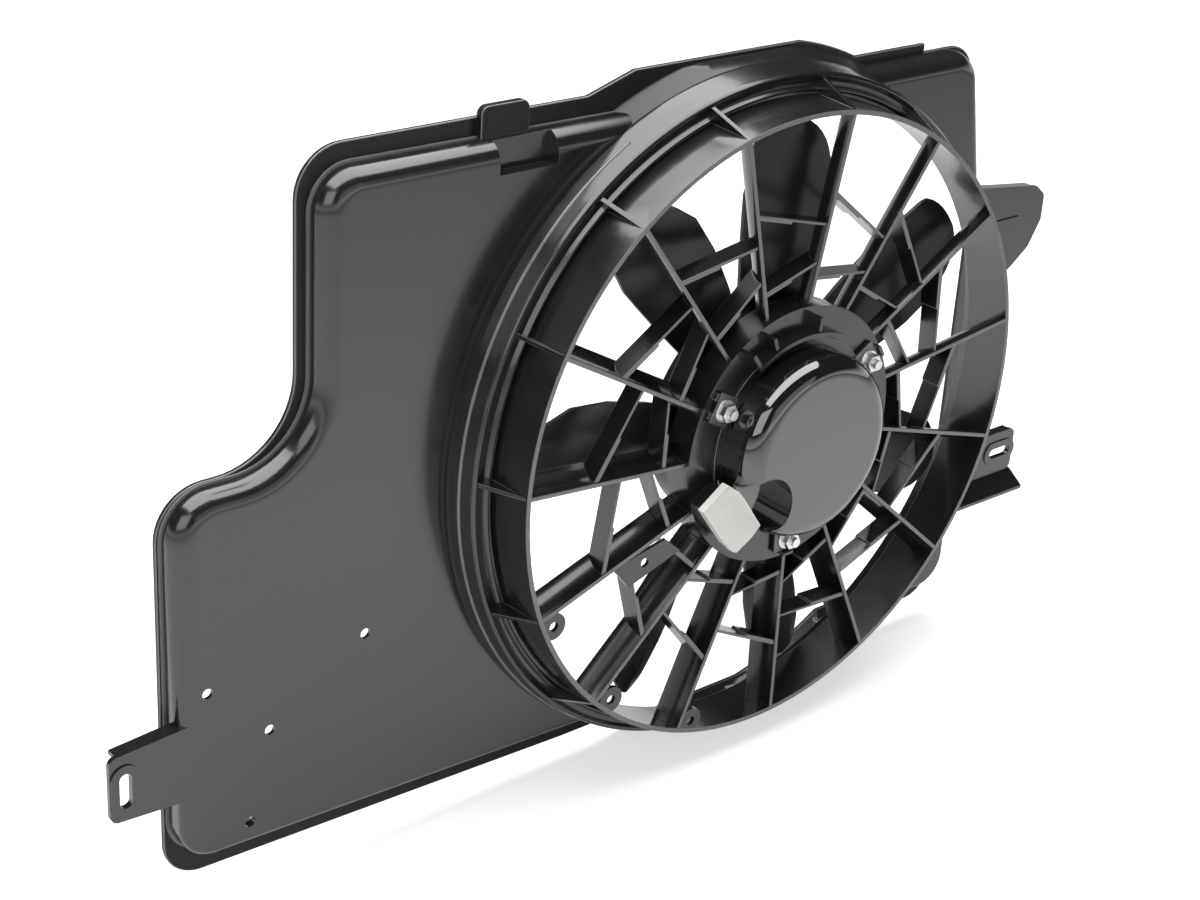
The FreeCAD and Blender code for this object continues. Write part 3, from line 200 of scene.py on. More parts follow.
def moulded_grain():
    """Group: fine grain and slow mottle of moulded plastic."""
    group = bpy.data.node_groups.get("Moulded grain")
    if group:
        return group
    group = bpy.data.node_groups.new("Moulded grain", "ShaderNodeTree")
    face = group.interface
    face.new_socket("Colour", in_out="INPUT", socket_type="NodeSocketColor")
    face.new_socket("Roughness", in_out="INPUT", socket_type="NodeSocketFloat")
    face.new_socket("Mottle", in_out="INPUT", socket_type="NodeSocketFloat")
    face.new_socket("Grain strength", in_out="INPUT", socket_type="NodeSocketFloat")
    face.new_socket("Colour", in_out="OUTPUT", socket_type="NodeSocketColor")
    face.new_socket("Roughness", in_out="OUTPUT", socket_type="NodeSocketFloat")
    face.new_socket("Normal", in_out="OUTPUT", socket_type="NodeSocketVector")
    nodes = group.nodes
    enter = nodes.new("NodeGroupInput")
    leave = nodes.new("NodeGroupOutput")
    place = nodes.new("ShaderNodeTexCoord")
    slow = nodes.new("ShaderNodeTexNoise")
    slow.inputs["Scale"].default_value = 28
    slow.inputs["Detail"].default_value = 5
    slow.inputs["Roughness"].default_value = 0.62
    fine = nodes.new("ShaderNodeTexNoise")
    fine.inputs["Scale"].default_value = 900
    fine.inputs["Detail"].default_value = 2
    for noise in (slow, fine):
        group.links.new(place.outputs["Object"], noise.inputs["Vector"])
    spread = nodes.new("ShaderNodeMapRange")
    spread.inputs["From Min"].default_value = 0.3
    spread.inputs["From Max"].default_value = 0.7
    spread.inputs["To Min"].default_value = -1
    spread.inputs["To Max"].default_value = 1
    group.links.new(slow.outputs["Fac"], spread.inputs["Value"])
    share = nodes.new("ShaderNodeMath")
    share.operation = "MULTIPLY_ADD"
    group.links.new(spread.outputs["Result"], share.inputs[0])
    group.links.new(enter.outputs["Mottle"], share.inputs[1])
    share.inputs[2].default_value = 1
    tint = nodes.new("ShaderNodeMix")
    tint.data_type = "RGBA"
    tint.blend_type = "MULTIPLY"
    tint.inputs["Factor"].default_value = 1
    grey = nodes.new("ShaderNodeCombineColor")
    for channel in range(3):
        group.links.new(share.outputs[0], grey.inputs[channel])
    group.links.new(enter.outputs["Colour"], tint.inputs["A"])
    group.links.new(grey.outputs[0], tint.inputs["B"])
    group.links.new(tint.outputs["Result"], leave.inputs["Colour"])
    rough = nodes.new("ShaderNodeMath")
    rough.operation = "MULTIPLY_ADD"
    group.links.new(spread.outputs["Result"], rough.inputs[0])
    rough.inputs[1].default_value = 0.04
    group.links.new(enter.outputs["Roughness"], rough.inputs[2])
    group.links.new(rough.outputs[0], leave.inputs["Roughness"])
    bump = nodes.new("ShaderNodeBump")
    bump.inputs["Distance"].default_value = 0.00005
    group.links.new(enter.outputs["Grain strength"], bump.inputs["Strength"])
    group.links.new(fine.outputs["Fac"], bump.inputs["Height"])
    group.links.new(bump.outputs["Normal"], leave.inputs["Normal"])
    return group


def grained(tree, shader, colour, roughness, mottle, grain):
    """Put the grain group before a shader's colour and roughness, and return it."""
    group = tree.nodes.new("ShaderNodeGroup")
    group.node_tree = moulded_grain()
    group.inputs["Colour"].default_value = colour
    group.inputs["Roughness"].default_value = roughness
    group.inputs["Mottle"].default_value = mottle
    group.inputs["Grain strength"].default_value = grain
    link(tree, group.outputs["Colour"], shader.inputs["Base Color"])
    link(tree, group.outputs["Roughness"], shader.inputs["Roughness"])
    return group


def moulded_plastic(name, colour, roughness, mottle, grain, specular=0.5):
    """Plastic with the mottle and the fine grain of its mould."""
    material, tree, shader = new_material(name, specular)
    group = grained(tree, shader, colour, roughness, mottle, grain)
    link(tree, group.outputs["Normal"], shader.inputs["Normal"])
    return material


def coat(material, weight, roughness):
    """Thin smooth skin over a moulded finish, which carries its sharp highlights."""
    shader = material.node_tree.nodes["Principled BSDF"]
    shader.inputs["Coat Weight"].default_value = weight
    shader.inputs["Coat Roughness"].default_value = roughness


def gloss_paint(name, colour):
    """Stoved gloss paint under a clear coat, smooth enough to mirror the floor."""
    material = moulded_plastic(name, colour, roughness=0.08, mottle=0.04, grain=0.0, specular=0.9)
    coat(material, weight=1.0, roughness=0.04)
    material.node_tree.nodes["Principled BSDF"].inputs["Coat IOR"].default_value = 1.8


def metal(name, colour, roughness):
    """Metal with a slow mottle in its colour and roughness."""
    _, tree, shader = new_material(name)
    shader.inputs["Metallic"].default_value = 1.0
    grained(tree, shader, colour, roughness, mottle=0.12, grain=0.05)


def finish(name):
    """The finish of that name, mixed earlier."""
    return bpy.data.materials[name]


def dress(finish_name, *nodes):
    """Put one finish on CAD nodes, in all their material slots."""
    for node in nodes:
        thing = frame["nodes"][node]
        if not thing.material_slots:
            thing.data.materials.append(finish(finish_name))
        for slot in thing.material_slots:
            slot.material = finish(finish_name)


def pick(thing):
    """Make one object the only selected and active one."""
    bpy.ops.object.select_all(action="DESELECT")
    thing.select_set(True)
    bpy.context.view_layer.objects.active = thing


def apply_modifier(thing, kind, **settings):
    """Add a modifier with these settings and apply it."""
    pick(thing)
    modifier = thing.modifiers.new(kind.title(), kind)
    for name, value in settings.items():
        setattr(modifier, name, value)
    bpy.ops.object.modifier_apply(modifier=modifier.name)


def bevel(thing, width, degrees, segments=2, **settings):
    """Round the edges where the surface bends by more than an angle."""
    apply_modifier(thing, "BEVEL", width=width, segments=segments, limit_method="ANGLE",
                   angle_limit=math.radians(degrees), use_clamp_overlap=True, **settings)


def free_copy(node):
    """Copy of a CAD node with its doubles merged and its flat faces made whole."""
    source = frame["nodes"][node]
    hidden = source.hide_viewport
    source.hide_viewport = False
    pick(source)
    bpy.ops.object.duplicate()
    piece = bpy.context.active_object
    source.hide_viewport = hidden
    piece.hide_render = False
    piece.name = node + "_finished"
    piece.parent = None
    for key in list(piece.keys()):
        del piece[key]
    bpy.ops.object.mode_set(mode="EDIT")
    bpy.ops.mesh.select_all(action="SELECT")
    bpy.ops.mesh.remove_doubles(threshold=MERGE_REACH)
    bpy.ops.mesh.dissolve_limited(angle_limit=math.radians(0.5))
    bpy.ops.object.mode_set(mode="OBJECT")
    return piece


def lathe(name, profile, segments, closed_ends=False):
    """Piece turned about the fan axis from (radius, station) pairs in millimetres."""
    radius, station = profile[0]
    bpy.ops.object.select_all(action="DESELECT")
    bpy.ops.mesh.primitive_circle_add(
        vertices=segments, radius=radius * MM, location=(0, station * MM, 0),
        rotation=(math.pi / 2, 0, 0), fill_type="NGON" if closed_ends else "NOTHING")
    piece = bpy.context.active_object
    piece.name = name
    bpy.ops.object.transform_apply(location=True, rotation=True, scale=True)
    bpy.ops.object.mode_set(mode="EDIT")
    bpy.ops.mesh.select_mode(type="EDGE")
    bpy.ops.mesh.select_all(action="SELECT")
    for next_radius, next_station in profile[1:]:
        bpy.ops.mesh.extrude_edges_move(
            TRANSFORM_OT_translate={"value": (0, (next_station - station) * MM, 0)})
        share = next_radius / radius
        bpy.ops.transform.resize(value=(share, 1, share), center_override=(0, 0, 0))
        radius, station = next_radius, next_station
    if closed_ends:
        bpy.ops.mesh.edge_face_add()
    bpy.ops.mesh.select_all(action="SELECT")
    bpy.ops.mesh.remove_doubles(threshold=MERGE_REACH)
    bpy.ops.mesh.normals_make_consistent(inside=False)
    bpy.ops.object.mode_set(mode="OBJECT")
    return piece


def move(thing, across, along, up):
    """Shift a piece by millimetres and put the shift into its mesh."""
    pick(thing)
    bpy.ops.transform.translate(value=(across * MM, along * MM, up * MM))
    bpy.ops.object.transform_apply(location=True, rotation=True, scale=True)


def carve(thing, tool, operation="DIFFERENCE"):
    """Cut, join or cross a piece with a tool, and throw the tool away."""
    apply_modifier(thing, "BOOLEAN", operation=operation, object=tool, solver="EXACT")
    bpy.data.objects.remove(tool)


def select_faces(thing, wanted):
    """In edit mode, select only the faces whose middle and normal pass a test."""
    pick(thing)
    bpy.ops.object.mode_set(mode="EDIT")
    bpy.ops.mesh.select_mode(type="FACE")
    bpy.ops.mesh.select_all(action="DESELECT")
    net = bmesh.from_edit_mesh(thing.data)
    for face in net.faces:
        if wanted(face.calc_center_median(), face.normal):
            face.select_set(True)
    bmesh.update_edit_mesh(thing.data)


def give(thing, *materials):
    """Replace a piece's materials by the finishes of these names."""
    thing.data.materials.clear()
    for name in materials:
        thing.data.materials.append(finish(name))


def finish_piece(piece, body, slot, *nodes):
    """Smooth the piece, give it to its body, and hide the nodes it stands for."""
    pick(piece)
    bpy.ops.object.shade_smooth_by_angle(angle=math.radians(SMOOTH_ANGLE))
    apply_modifier(piece, "WEIGHTED_NORMAL", keep_sharp=True)
    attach(piece, body)
    if nodes:
        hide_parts(*nodes)


def soften(node, body, slot, width, faces, edges, painted_front_reflection=False):
    """The CAD node again, with small round edges painted in the paler edge finish as a highlight;
    when asked, its front faces take that finish too, a painted reflection of the floor.
    """
    piece = free_copy(node)
    give(piece, faces, edges)
    # Rounded edges take the second, paler finish: a painted highlight.
    bevel(piece, width, degrees=32, material=1)
    # Faces that look forward take the paler edge finish: a painted reflection of the floor.
    if painted_front_reflection:
        for face in piece.data.polygons:
            if face.normal.y < -0.9:
                face.material_index = 1
    finish_piece(piece, body, slot, node)


def block(name, corners, front, back):
    """Flat-sided block, cut from a cube along the sides between its (across, up) corners.

    The corners are in millimetres and run counter-clockwise. The cube is 1 mm larger all
    round, so that each side is a real cut."""
    across = [corner[0] for corner in corners]
    up = [corner[1] for corner in corners]
    bpy.ops.object.select_all(action="DESELECT")
    bpy.ops.mesh.primitive_cube_add(
        size=MM, location=((min(across) + max(across)) / 2 * MM, (front + back) / 2 * MM,
                           (min(up) + max(up)) / 2 * MM),
        scale=(max(across) - min(across) + 2, back - front, max(up) - min(up) + 2))
    piece = bpy.context.active_object
    piece.name = name
    bpy.ops.object.transform_apply(location=True, rotation=True, scale=True)
    bpy.ops.object.mode_set(mode="EDIT")
    for here, there in zip(corners, corners[1:] + corners[:1]):
        bpy.ops.mesh.select_all(action="SELECT")
        outward = Vector((there[1] - here[1], 0, here[0] - there[0])).normalized()
        bpy.ops.mesh.bisect(plane_co=(here[0] * MM, 0, here[1] * MM), plane_no=outward,
                            clear_outer=True, use_fill=True)
    bpy.ops.mesh.select_all(action="SELECT")
    bpy.ops.mesh.remove_doubles(threshold=MERGE_REACH)
    bpy.ops.mesh.normals_make_consistent(inside=False)
    bpy.ops.object.mode_set(mode="OBJECT")
    return piece


def arc(across, up, radius, turns):
    """Corners on an arc about a middle, one at each of these turns in degrees."""
    return [(across + radius * math.cos(math.radians(turn)),
             up + radius * math.sin(math.radians(turn))) for turn in turns]


def blade_plan(tip_radius):
    """Block with the outline of the blade near the top, seen along the fan axis."""
    wide = tip_radius / MM
    corners = [(48, 20), (48, 120), (44, 148)]
    corners += arc(4, 190 - wide, wide, range(20, 91, 10))
    corners += arc(4, 178, 12, range(105, 181, 15))
    corners += [(-16, 150), (-24, 20)]
    return block("blade_plan", corners, front=-75, back=10)


def fan_blades(tip_radius):
    """One blade with round corners at its tip, copied to the places of the seven."""
    free_copy("fan_blades")
    bpy.ops.object.mode_set(mode="EDIT")
    bpy.ops.mesh.select_all(action="SELECT")
    bpy.ops.mesh.separate(type="LOOSE")
    bpy.ops.object.mode_set(mode="OBJECT")
    blades = [thing for thing in bpy.data.objects if thing.name.startswith("fan_blades_finished")]
    turns = {}
    for blade in blades:
        middle = sum((vertex.co for vertex in blade.data.vertices), Vector())
        turns[blade] = math.atan2(middle.z, middle.x)
    first = min(blades, key=lambda blade: abs(turns[blade] - math.radians(85)))
    start = turns[first]
    others = [turns[blade] for blade in blades if blade is not first]
    for blade in blades:
        if blade is not first:
            bpy.data.objects.remove(blade)
    carve(first, blade_plan(tip_radius), "INTERSECT")
    give(first, "Fan plastic", "Painted ring edge highlight")
    # The blade's rounded edges take the paler edge finish: a painted highlight.
    bevel(first, width=0.0005, degrees=40, material=1)
    for turn in others:
        pick(first)
        bpy.ops.object.duplicate()
        copied = bpy.context.active_object
        copied.data.transform(Matrix.Rotation(start - turn, 4, "Y"))
        finish_piece(copied, "rotor", "fan_plastic")
    finish_piece(first, "rotor", "fan_plastic", "fan_blades")


class SHROUD_OT_socket(bpy.types.Operator):
    """Makes the ivory wiring socket with its dished mouth and its black foot"""
    bl_idname = "shroud.socket"
    bl_label = "Make the wiring socket"

    def execute(self, context):
        cap = block("socket_cap", SOCKET_OUTLINE, SOCKET_FRONT, SOCKET_JOINT)
        select_faces(cap, lambda middle, normal: normal.y < -0.9)
        bpy.ops.mesh.inset(thickness=0.0013)
        bpy.ops.transform.translate(value=(0.0006, 0.0010, 0.0007))
        bpy.ops.mesh.poke(offset=-0.0009)
        bpy.ops.object.mode_set(mode="OBJECT")
        bevel(cap, width=0.0005, degrees=40)
        give(cap, "Socket plastic")
        finish_piece(cap, "shroud", "ivory_plastic", "connector_housing")
        foot = block("socket_foot", FOOT_OUTLINE, FOOT_FRONT, FOOT_BACK)
        bevel(foot, width=0.0008, degrees=25)
        give(foot, "Ring plastic")
        finish_piece(foot, "shroud", "ring_plastic")
        return {"FINISHED"}


class SHROUD_OT_mouldings(bpy.types.Operator):
    """Rounds the edges of the moulded, pressed and turned parts that show"""
    bl_idname = "shroud.mouldings"
    bl_label = "Round the moulded edges"

    def execute(self, context):
        radii = context.scene.shroud_edges
        for node in ("shroud_panel", "left_bracket", "right_bracket", "wing_tab"):
            soften(node, "shroud", "pan_plastic", radii.moulded, "Pan plastic", "Painted pan edge highlight")
        soften("drum_skirt", "shroud", "pan_plastic", radii.moulded, "Drum plastic", "Painted pan edge highlight")
        for node in ("seal_flange", "top_clip"):
            soften(node, "shroud", "pan_plastic", radii.moulded, "Flange plastic", "Painted ring edge highlight")
        for node in ("motor_plate", "ring_tabs", "wire_web"):
            soften(node, "shroud", "ring_plastic", radii.moulded, "Ring plastic", "Painted ring edge highlight")
        # The front faces of these parts take the paler edge finish too: a painted reflection of
        # the floor.
        for node in ("fan_ring", "stator_vanes", "outer_crossbars", "inner_crossbars"):
            soften(node, "shroud", "ring_plastic", radii.moulded, "Ring plastic", "Painted ring edge highlight",
                   painted_front_reflection=True)
        soften("fan_hub", "rotor", "fan_plastic", radii.moulded, "Fan plastic", "Painted ring edge highlight")
        fan_blades(radii.blade_tip)
        soften("motor_bracket", "shroud", "can_paint", radii.pressed, "Ring plastic", "Painted ring edge highlight")
        soften("stud_plates", "shroud", "zinc_steel", radii.pressed, "Dull steel", "Dull steel")
        for node in ("stud_washers", "stud_nuts"):
            soften(node, "shroud", "zinc_steel", radii.pressed, "Zinc plate", "Zinc plate")
        return {"FINISHED"}


class SHROUD_OT_can(bpy.types.Operator):
    """Draws the motor can with its round shoulder and presses the scoop into it"""
    bl_idname = "shroud.can"
    bl_label = "Draw the motor can"

    def execute(self, context):
        sizes = context.scene.shroud_can
        bend = sizes.shoulder / MM
        profile = [(CAN_RADIUS - bend, CAN_FACE)]
        for step in range(1, 13):
            turn = math.radians(90 * step / 12)
            profile.append((CAN_RADIUS - bend + bend * math.sin(turn),
                            CAN_FACE + bend * (1 - math.cos(turn))))
        profile.append((CAN_RADIUS, CAN_BACK))
        can = lathe("motor_can_finished", profile, 128, closed_ends=True)
        radius = sizes.scoop_radius / MM
        floor = CAN_FACE + sizes.scoop_depth / MM
        tool = lathe("scoop_tool", [(radius, SCOOP_FRONT), (radius, floor)], 64, closed_ends=True)
        move(tool, SCOOP_PLACE[0], 0, SCOOP_PLACE[1])
        carve(can, tool)
        bevel(can, width=sizes.scoop_edge, degrees=35, segments=5)
        open_end = (CAN_BACK - 2) * MM
        select_faces(can, lambda middle, normal: normal.y > 0.9 and middle.y > open_end)
        bpy.ops.mesh.delete(type="FACE")
        bpy.ops.object.mode_set(mode="OBJECT")
        apply_modifier(can, "SOLIDIFY", thickness=0.002, offset=-1.0)
        give(can, "Motor paint")
        finish_piece(can, "shroud", "can_paint", "motor_can")
        return {"FINISHED"}


class SHROUD_OT_beads(bpy.types.Operator):
    """Lays the moulded beads on the ring's step, on the drum's wall and round the pan"""
    bl_idname = "shroud.beads"
    bl_label = "Lay the moulded beads"

    def execute(self, context):
        step = lathe("step_bead", STEP_BEAD, BEAD_SEGMENTS)
        give(step, "Ring plastic", "Painted ring edge highlight")
        finish_piece(step, "shroud", "ring_plastic")
        wall = lathe("drum_wall_bead", WALL_BEAD, BEAD_SEGMENTS)
        keep_left_part(wall)
        # The drum's bead is painted pale: a painted highlight line.
        give(wall, "Painted bead highlight")
        finish_piece(wall, "shroud", "pan_plastic")
        pan_foot_bead()
        return {"FINISHED"}


def keep_left_part(bead):
    """Cut the drum's bead off above, below and to the right, where the drum has no wall."""
    for place, normal in (((0, 0, 0.188), (0, 0, 1)), ((0, 0, -0.190), (0, 0, -1)),
                          ((-0.05, 0, 0), (1, 0, 0))):
        pick(bead)
        bpy.ops.object.mode_set(mode="EDIT")
        bpy.ops.mesh.select_all(action="SELECT")
        bpy.ops.mesh.bisect(plane_co=place, plane_no=normal, clear_outer=True, use_fill=True)
        bpy.ops.object.mode_set(mode="OBJECT")


def pan_foot_bead():
    """Low bead that runs round the foot of the pan, where it leaves the flange."""
    pan = free_copy("shroud_panel")
    pan.name = "pan_foot_bead"
    select_faces(pan, lambda middle, normal: normal.y > 0.9 and middle.y > -0.0032)
    bpy.ops.mesh.region_to_loop()
    bpy.ops.mesh.select_all(action="INVERT")
    bpy.ops.mesh.delete(type="EDGE_FACE")
    bpy.ops.mesh.select_all(action="SELECT")
    bpy.ops.mesh.delete(type="ONLY_FACE")
    bpy.ops.mesh.select_all(action="SELECT")
    bpy.ops.mesh.separate(type="LOOSE")
    bpy.ops.object.mode_set(mode="OBJECT")
    loops = [thing for thing in bpy.data.objects if thing.name.startswith("pan_foot_bead")]
    loops.sort(key=lambda thing: thing.dimensions.x * thing.dimensions.z)
    bead = loops.pop()
    for spare in loops:
        bpy.data.objects.remove(spare)
    bead.name = "pan_foot_bead"
    pick(bead)
    bpy.ops.object.mode_set(mode="EDIT")
    bpy.ops.mesh.select_mode(type="EDGE")
    bpy.ops.mesh.select_all(action="SELECT")
    bpy.ops.mesh.extrude_edges_move(TRANSFORM_OT_translate={"value": (0, -0.0016, 0)})
    bpy.ops.mesh.select_all(action="SELECT")
    bpy.ops.mesh.normals_make_consistent(inside=False)
    bpy.ops.object.mode_set(mode="OBJECT")
    apply_modifier(bead, "SOLIDIFY", thickness=0.0034, offset=0.0)
    bevel(bead, width=0.0005, degrees=40)
    # The foot bead is painted pale: a painted highlight line.
    give(bead, "Painted bead highlight")
    finish_piece(bead, "shroud", "pan_plastic")


def moulding_finishes(sizes):
    """Mix the finishes of the moulded and painted parts."""
    coat(moulded_plastic("Pan plastic", sizes.pan_colour, roughness=0.19, mottle=0.10,
                         grain=0.15, specular=0.9), weight=0.45, roughness=0.10)
    coat(moulded_plastic("Drum plastic", sizes.pan_colour, roughness=0.22, mottle=0.10,
                         grain=0.06, specular=0.45), weight=0.2, roughness=0.10)
    # Paler finish of the pan's rounded edges: a painted highlight.
    coat(moulded_plastic("Painted pan edge highlight", sizes.pan_edge_highlight_colour, roughness=0.20, mottle=0.10,
                         grain=0.15, specular=0.9), weight=0.45, roughness=0.10)
    # Pale finish of the thin beads: a painted highlight line.
    moulded_plastic("Painted bead highlight", sizes.bead_highlight_colour, roughness=0.22, mottle=0.10,
                    grain=0.10, specular=0.9)
    moulded_plastic("Flange plastic", sizes.ring_colour, roughness=0.36, mottle=0.15,
                    grain=0.15, specular=0.35)
    coat(moulded_plastic("Ring plastic", sizes.ring_colour, roughness=0.22, mottle=0.12,
                         grain=0.05, specular=0.9), weight=0.4, roughness=0.08)
    # Paler finish of the ring's edges and front faces: a painted highlight and painted
    # reflection.
    coat(moulded_plastic("Painted ring edge highlight", sizes.ring_edge_highlight_colour, roughness=0.18, mottle=0.12,
                         grain=0.10, specular=0.9), weight=0.4, roughness=0.08)
    moulded_plastic("Fan plastic", sizes.fan_colour, roughness=0.30, mottle=0.10, grain=0.10)
    moulded_plastic("Socket plastic", sizes.socket_colour, roughness=0.42, mottle=0.05, grain=0.2)
    gloss_paint("Motor paint", sizes.can_colour)


def inner_finishes():
    """Mix the metals and the finishes of what is inside the motor."""
    metal("Zinc plate", (0.86, 0.86, 0.86, 1), 0.3)
    metal("Dull steel", (0.20, 0.20, 0.205, 1), 0.42)
    metal("Ground steel", (0.55, 0.55, 0.55, 1), 0.25)
    metal("Copper wire", (0.60, 0.26, 0.12, 1), 0.35)
    metal("Brass", (0.75, 0.58, 0.28, 1), 0.3)
    moulded_plastic("Ferrite", (0.05, 0.05, 0.055, 1), roughness=0.7, mottle=0.2, grain=0.3)
    moulded_plastic("Laminate", (0.22, 0.13, 0.06, 1), roughness=0.6, mottle=0.2, grain=0.2)
    moulded_plastic("Carbon", (0.03, 0.03, 0.032, 1), roughness=0.55, mottle=0.1, grain=0.3)


class SHROUD_OT_finishes(bpy.types.Operator):
    """Mixes the finishes and puts one on every CAD part"""
    bl_idname = "shroud.finishes"
    bl_label = "Finish the parts"

    def execute(self, context):
        moulding_finishes(context.scene.shroud_finish)
        inner_finishes()
        dress("Pan plastic", "shroud_panel", "drum_skirt", "seal_flange", "left_bracket",
              "right_bracket", "wing_tab", "top_clip")
        dress("Ring plastic", "fan_ring", "stator_vanes", "outer_crossbars", "inner_crossbars",
              "motor_plate", "ring_tabs", "wire_web", "motor_bracket")
        dress("Fan plastic", "fan_hub", "fan_blades")
        dress("Motor paint", "motor_can")
        dress("Socket plastic", "connector_housing")
        dress("Zinc plate", "stud_nuts", "stud_washers", "stud_plates", "motor_studs",
              "motor_end_plate", "fan_nut", "fan_washer")
        dress("Ground steel", "motor_shaft", "front_bearing", "rear_bearing", "brush_springs",
              "armature_core")
        dress("Copper wire", "armature_windings", "commutator")
        dress("Brass", "connector_pins", "brush_holders")
        dress("Ferrite", "field_magnets")
        dress("Laminate", "brush_card")
        dress("Carbon", "carbon_brushes")
        return {"FINISHED"}


def seen_rays(tree, path):
    """One where the ray comes from the camera, a mirror or a clear thing."""
    either = tree.nodes.new("ShaderNodeMath")
    either.operation = "MAXIMUM"
    link(tree, path.outputs["Is Camera Ray"], either.inputs[0])
    link(tree, path.outputs["Is Glossy Ray"], either.inputs[1])
    clear = tree.nodes.new("ShaderNodeMath")
    clear.operation = "MAXIMUM"
    link(tree, either.outputs[0], clear.inputs[0])
    link(tree, path.outputs["Is Transmission Ray"], clear.inputs[1])
    return clear.outputs[0]


def studio_room(scene, sizes):
    """White behind the object, darker overhead in mirrors, dim for soft light."""
    world = bpy.data.worlds.new("Studio")
    scene.world = world
    world.use_nodes = True
    tree = world.node_tree
    soft = tree.nodes["Background"]
    soft.inputs["Color"].default_value = (1, 1, 1, 1)
    soft.inputs["Strength"].default_value = sizes.room_light
    white = tree.nodes.new("ShaderNodeBackground")
    white.inputs["Color"].default_value = (1, 1, 1, 1)
    white.inputs["Strength"].default_value = 1.0
    mirrored = tree.nodes.new("ShaderNodeBackground")
    mirrored.inputs["Strength"].default_value = 1.0
    place = tree.nodes.new("ShaderNodeTexCoord")
    split = tree.nodes.new("ShaderNodeSeparateXYZ")
    fade = tree.nodes.new("ShaderNodeMapRange")
    fade.inputs["From Min"].default_value = 0.02
    fade.inputs["From Max"].default_value = 0.20
    fade.inputs["To Min"].default_value = 1.0
    fade.inputs["To Max"].default_value = sizes.ceiling
    link(tree, place.outputs["Generated"], split.inputs[0])
    link(tree, split.outputs["Z"], fade.inputs["Value"])
    link(tree, fade.outputs[0], mirrored.inputs["Color"])
    path = tree.nodes.new("ShaderNodeLightPath")
    glossy = tree.nodes.new("ShaderNodeMixShader")
    link(tree, path.outputs["Is Glossy Ray"], glossy.inputs["Fac"])
    link(tree, soft.outputs[0], glossy.inputs[1])
    link(tree, mirrored.outputs[0], glossy.inputs[2])
    direct = tree.nodes.new("ShaderNodeMath")
    direct.operation = "MAXIMUM"
    link(tree, path.outputs["Is Camera Ray"], direct.inputs[0])
    link(tree, path.outputs["Is Transmission Ray"], direct.inputs[1])
    shown = tree.nodes.new("ShaderNodeMixShader")
    link(tree, direct.outputs[0], shown.inputs["Fac"])
    link(tree, glossy.outputs[0], shown.inputs[1])
    link(tree, white.outputs[0], shown.inputs[2])
    link(tree, shown.outputs[0], tree.nodes["World Output"].inputs["Surface"])


def soft_box(name, place, target, width, height, power):
    """Rectangular lamp at a place, turned towards a target."""
    lamp = bpy.data.lights.new(name, "AREA")
    lamp.shape = "RECTANGLE"
    lamp.size = width
    lamp.size_y = height
    lamp.energy = power
    thing = bpy.data.objects.new(name, lamp)
    bpy.context.scene.collection.objects.link(thing)
    thing.location = place
    thing.rotation_euler = (Vector(target) - Vector(place)).to_track_quat("-Z", "Y").to_euler()


def pale_floor(sizes):
    """Floor that keeps the shadow and turns white where the camera sees it far off."""
    bpy.ops.object.select_all(action="DESELECT")
    bpy.ops.mesh.primitive_plane_add(size=12, location=(0, 0, sizes.floor_level))
    floor = bpy.context.active_object
    floor.name = "floor"
    material, tree, shader = new_material("Pale floor")
    shader.inputs["Base Color"].default_value = (0.8, 0.8, 0.8, 1)
    shader.inputs["Roughness"].default_value = 0.9
    shader.inputs["Emission Color"].default_value = (1, 1, 1, 1)
    path = tree.nodes.new("ShaderNodeLightPath")
    lift = tree.nodes.new("ShaderNodeMath")
    lift.operation = "MULTIPLY"
    lift.inputs[1].default_value = sizes.floor_lift
    link(tree, seen_rays(tree, path), lift.inputs[0])
    place = tree.nodes.new("ShaderNodeTexCoord")
    reach = tree.nodes.new("ShaderNodeVectorMath")
    reach.operation = "LENGTH"
    link(tree, place.outputs["Object"], reach.inputs[0])
    far = tree.nodes.new("ShaderNodeMapRange")
    far.inputs["From Min"].default_value = 0.8
    far.inputs["From Max"].default_value = 3.0
    far.inputs["To Min"].default_value = sizes.floor_white
    far.inputs["To Max"].default_value = 1.0
    link(tree, reach.outputs["Value"], far.inputs["Value"])
    direct = tree.nodes.new("ShaderNodeMath")
    direct.operation = "MULTIPLY_ADD"
    link(tree, far.outputs["Result"], direct.inputs[1])
    link(tree, path.outputs["Is Camera Ray"], direct.inputs[0])
    link(tree, lift.outputs[0], direct.inputs[2])
    link(tree, direct.outputs[0], shader.inputs["Emission Strength"])
    floor.data.materials.append(material)


def photo_camera(scene, lens):
    """Camera at the photograph's place, looking the photograph's way."""
    data = bpy.data.cameras.new("Camera")
    data.sensor_width = 36
    data.lens = lens
    data.shift_x, data.shift_y = CAMERA_SHIFT
    data.clip_end = 50
    camera = bpy.data.objects.new("Camera", data)
    scene.collection.objects.link(camera)
    ahead = Vector(CAMERA_AHEAD).normalized()
    right = Vector(CAMERA_RIGHT).normalized()
    right = (right - ahead * right.dot(ahead)).normalized()
    turn = Matrix((right, right.cross(ahead), -ahead)).transposed()
    camera.matrix_world = Matrix.Translation(CAMERA_PLACE) @ turn.to_4x4()
    scene.camera = camera


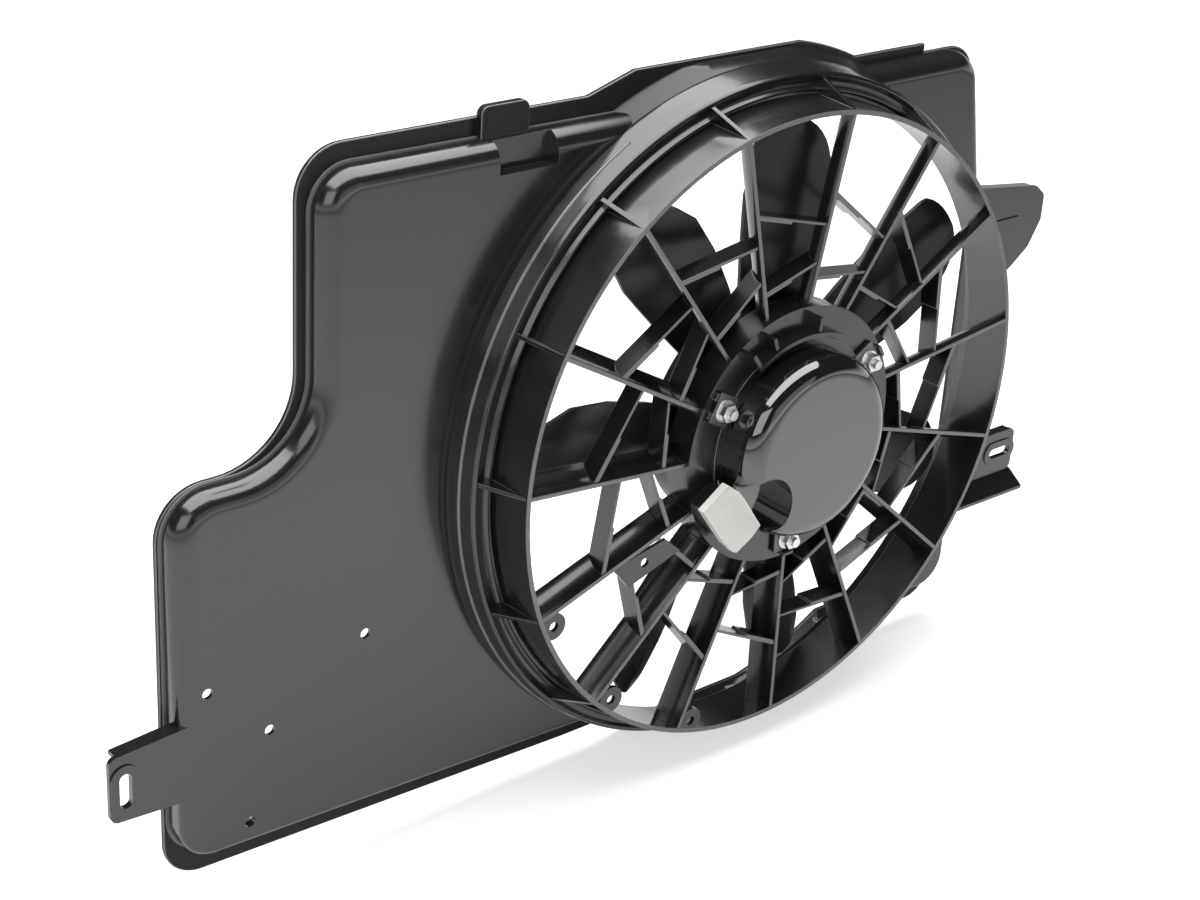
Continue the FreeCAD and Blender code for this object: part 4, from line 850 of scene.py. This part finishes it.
class SHROUD_OT_stage(bpy.types.Operator):
    """Adds the pale floor, the studio room, its lamps and the camera"""
    bl_idname = "shroud.stage"
    bl_label = "Set the stage"

    def execute(self, context):
        scene = context.scene
        sizes = scene.shroud_stage
        pale_floor(sizes)
        studio_room(scene, sizes)
        soft_box("Overhead softbox", place=(-0.17, 0.15, 1.5), target=(-0.17, 0.15, 0),
                 width=2.25, height=1.9, power=sizes.overhead)
        soft_box("Side fill", place=(-2.6, -1.3, 1.5), target=(-0.1, 0, 0),
                 width=2.2, height=1.6, power=sizes.side_fill)
        soft_box("Front fill", place=(0.3, -3.2, 0.9), target=(-0.1, 0, 0),
                 width=3.0, height=1.6, power=sizes.front_fill)
        photo_camera(scene, sizes.lens)
        scene.view_settings.view_transform = "Standard"
        return {"FINISHED"}


class SHROUD_PT_panel(bpy.types.Panel):
    """Lists the steps of the shroud"""
    bl_idname = "SHROUD_PT_panel"
    bl_label = "Fan shroud"
    bl_space_type = "VIEW_3D"
    bl_region_type = "UI"
    bl_category = "Shroud"

    def draw(self, context):
        for step in STEPS:
            self.layout.operator(step)


STEPS = ("shroud.finishes", "shroud.mouldings", "shroud.can", "shroud.socket", "shroud.beads",
         "shroud.stage")
CLASSES = (FinishSizes, EdgeSizes, CanSizes, StageSizes, SHROUD_OT_finishes, SHROUD_OT_mouldings,
           SHROUD_OT_can, SHROUD_OT_socket, SHROUD_OT_beads, SHROUD_OT_stage, SHROUD_PT_panel)


def register():
    for kind in CLASSES:
        bpy.utils.register_class(kind)
    bpy.types.Scene.shroud_finish = bpy.props.PointerProperty(type=FinishSizes)
    bpy.types.Scene.shroud_edges = bpy.props.PointerProperty(type=EdgeSizes)
    bpy.types.Scene.shroud_can = bpy.props.PointerProperty(type=CanSizes)
    bpy.types.Scene.shroud_stage = bpy.props.PointerProperty(type=StageSizes)


def unregister():
    del bpy.types.Scene.shroud_stage
    del bpy.types.Scene.shroud_can
    del bpy.types.Scene.shroud_edges
    del bpy.types.Scene.shroud_finish
    for kind in reversed(CLASSES):
        bpy.utils.unregister_class(kind)


def main():
    register()
    bpy.ops.shroud.finishes()
    bpy.ops.shroud.mouldings()
    bpy.ops.shroud.can()
    bpy.ops.shroud.socket()
    bpy.ops.shroud.beads()
    bpy.ops.shroud.stage()


if __name__ == "__main__":
    main()
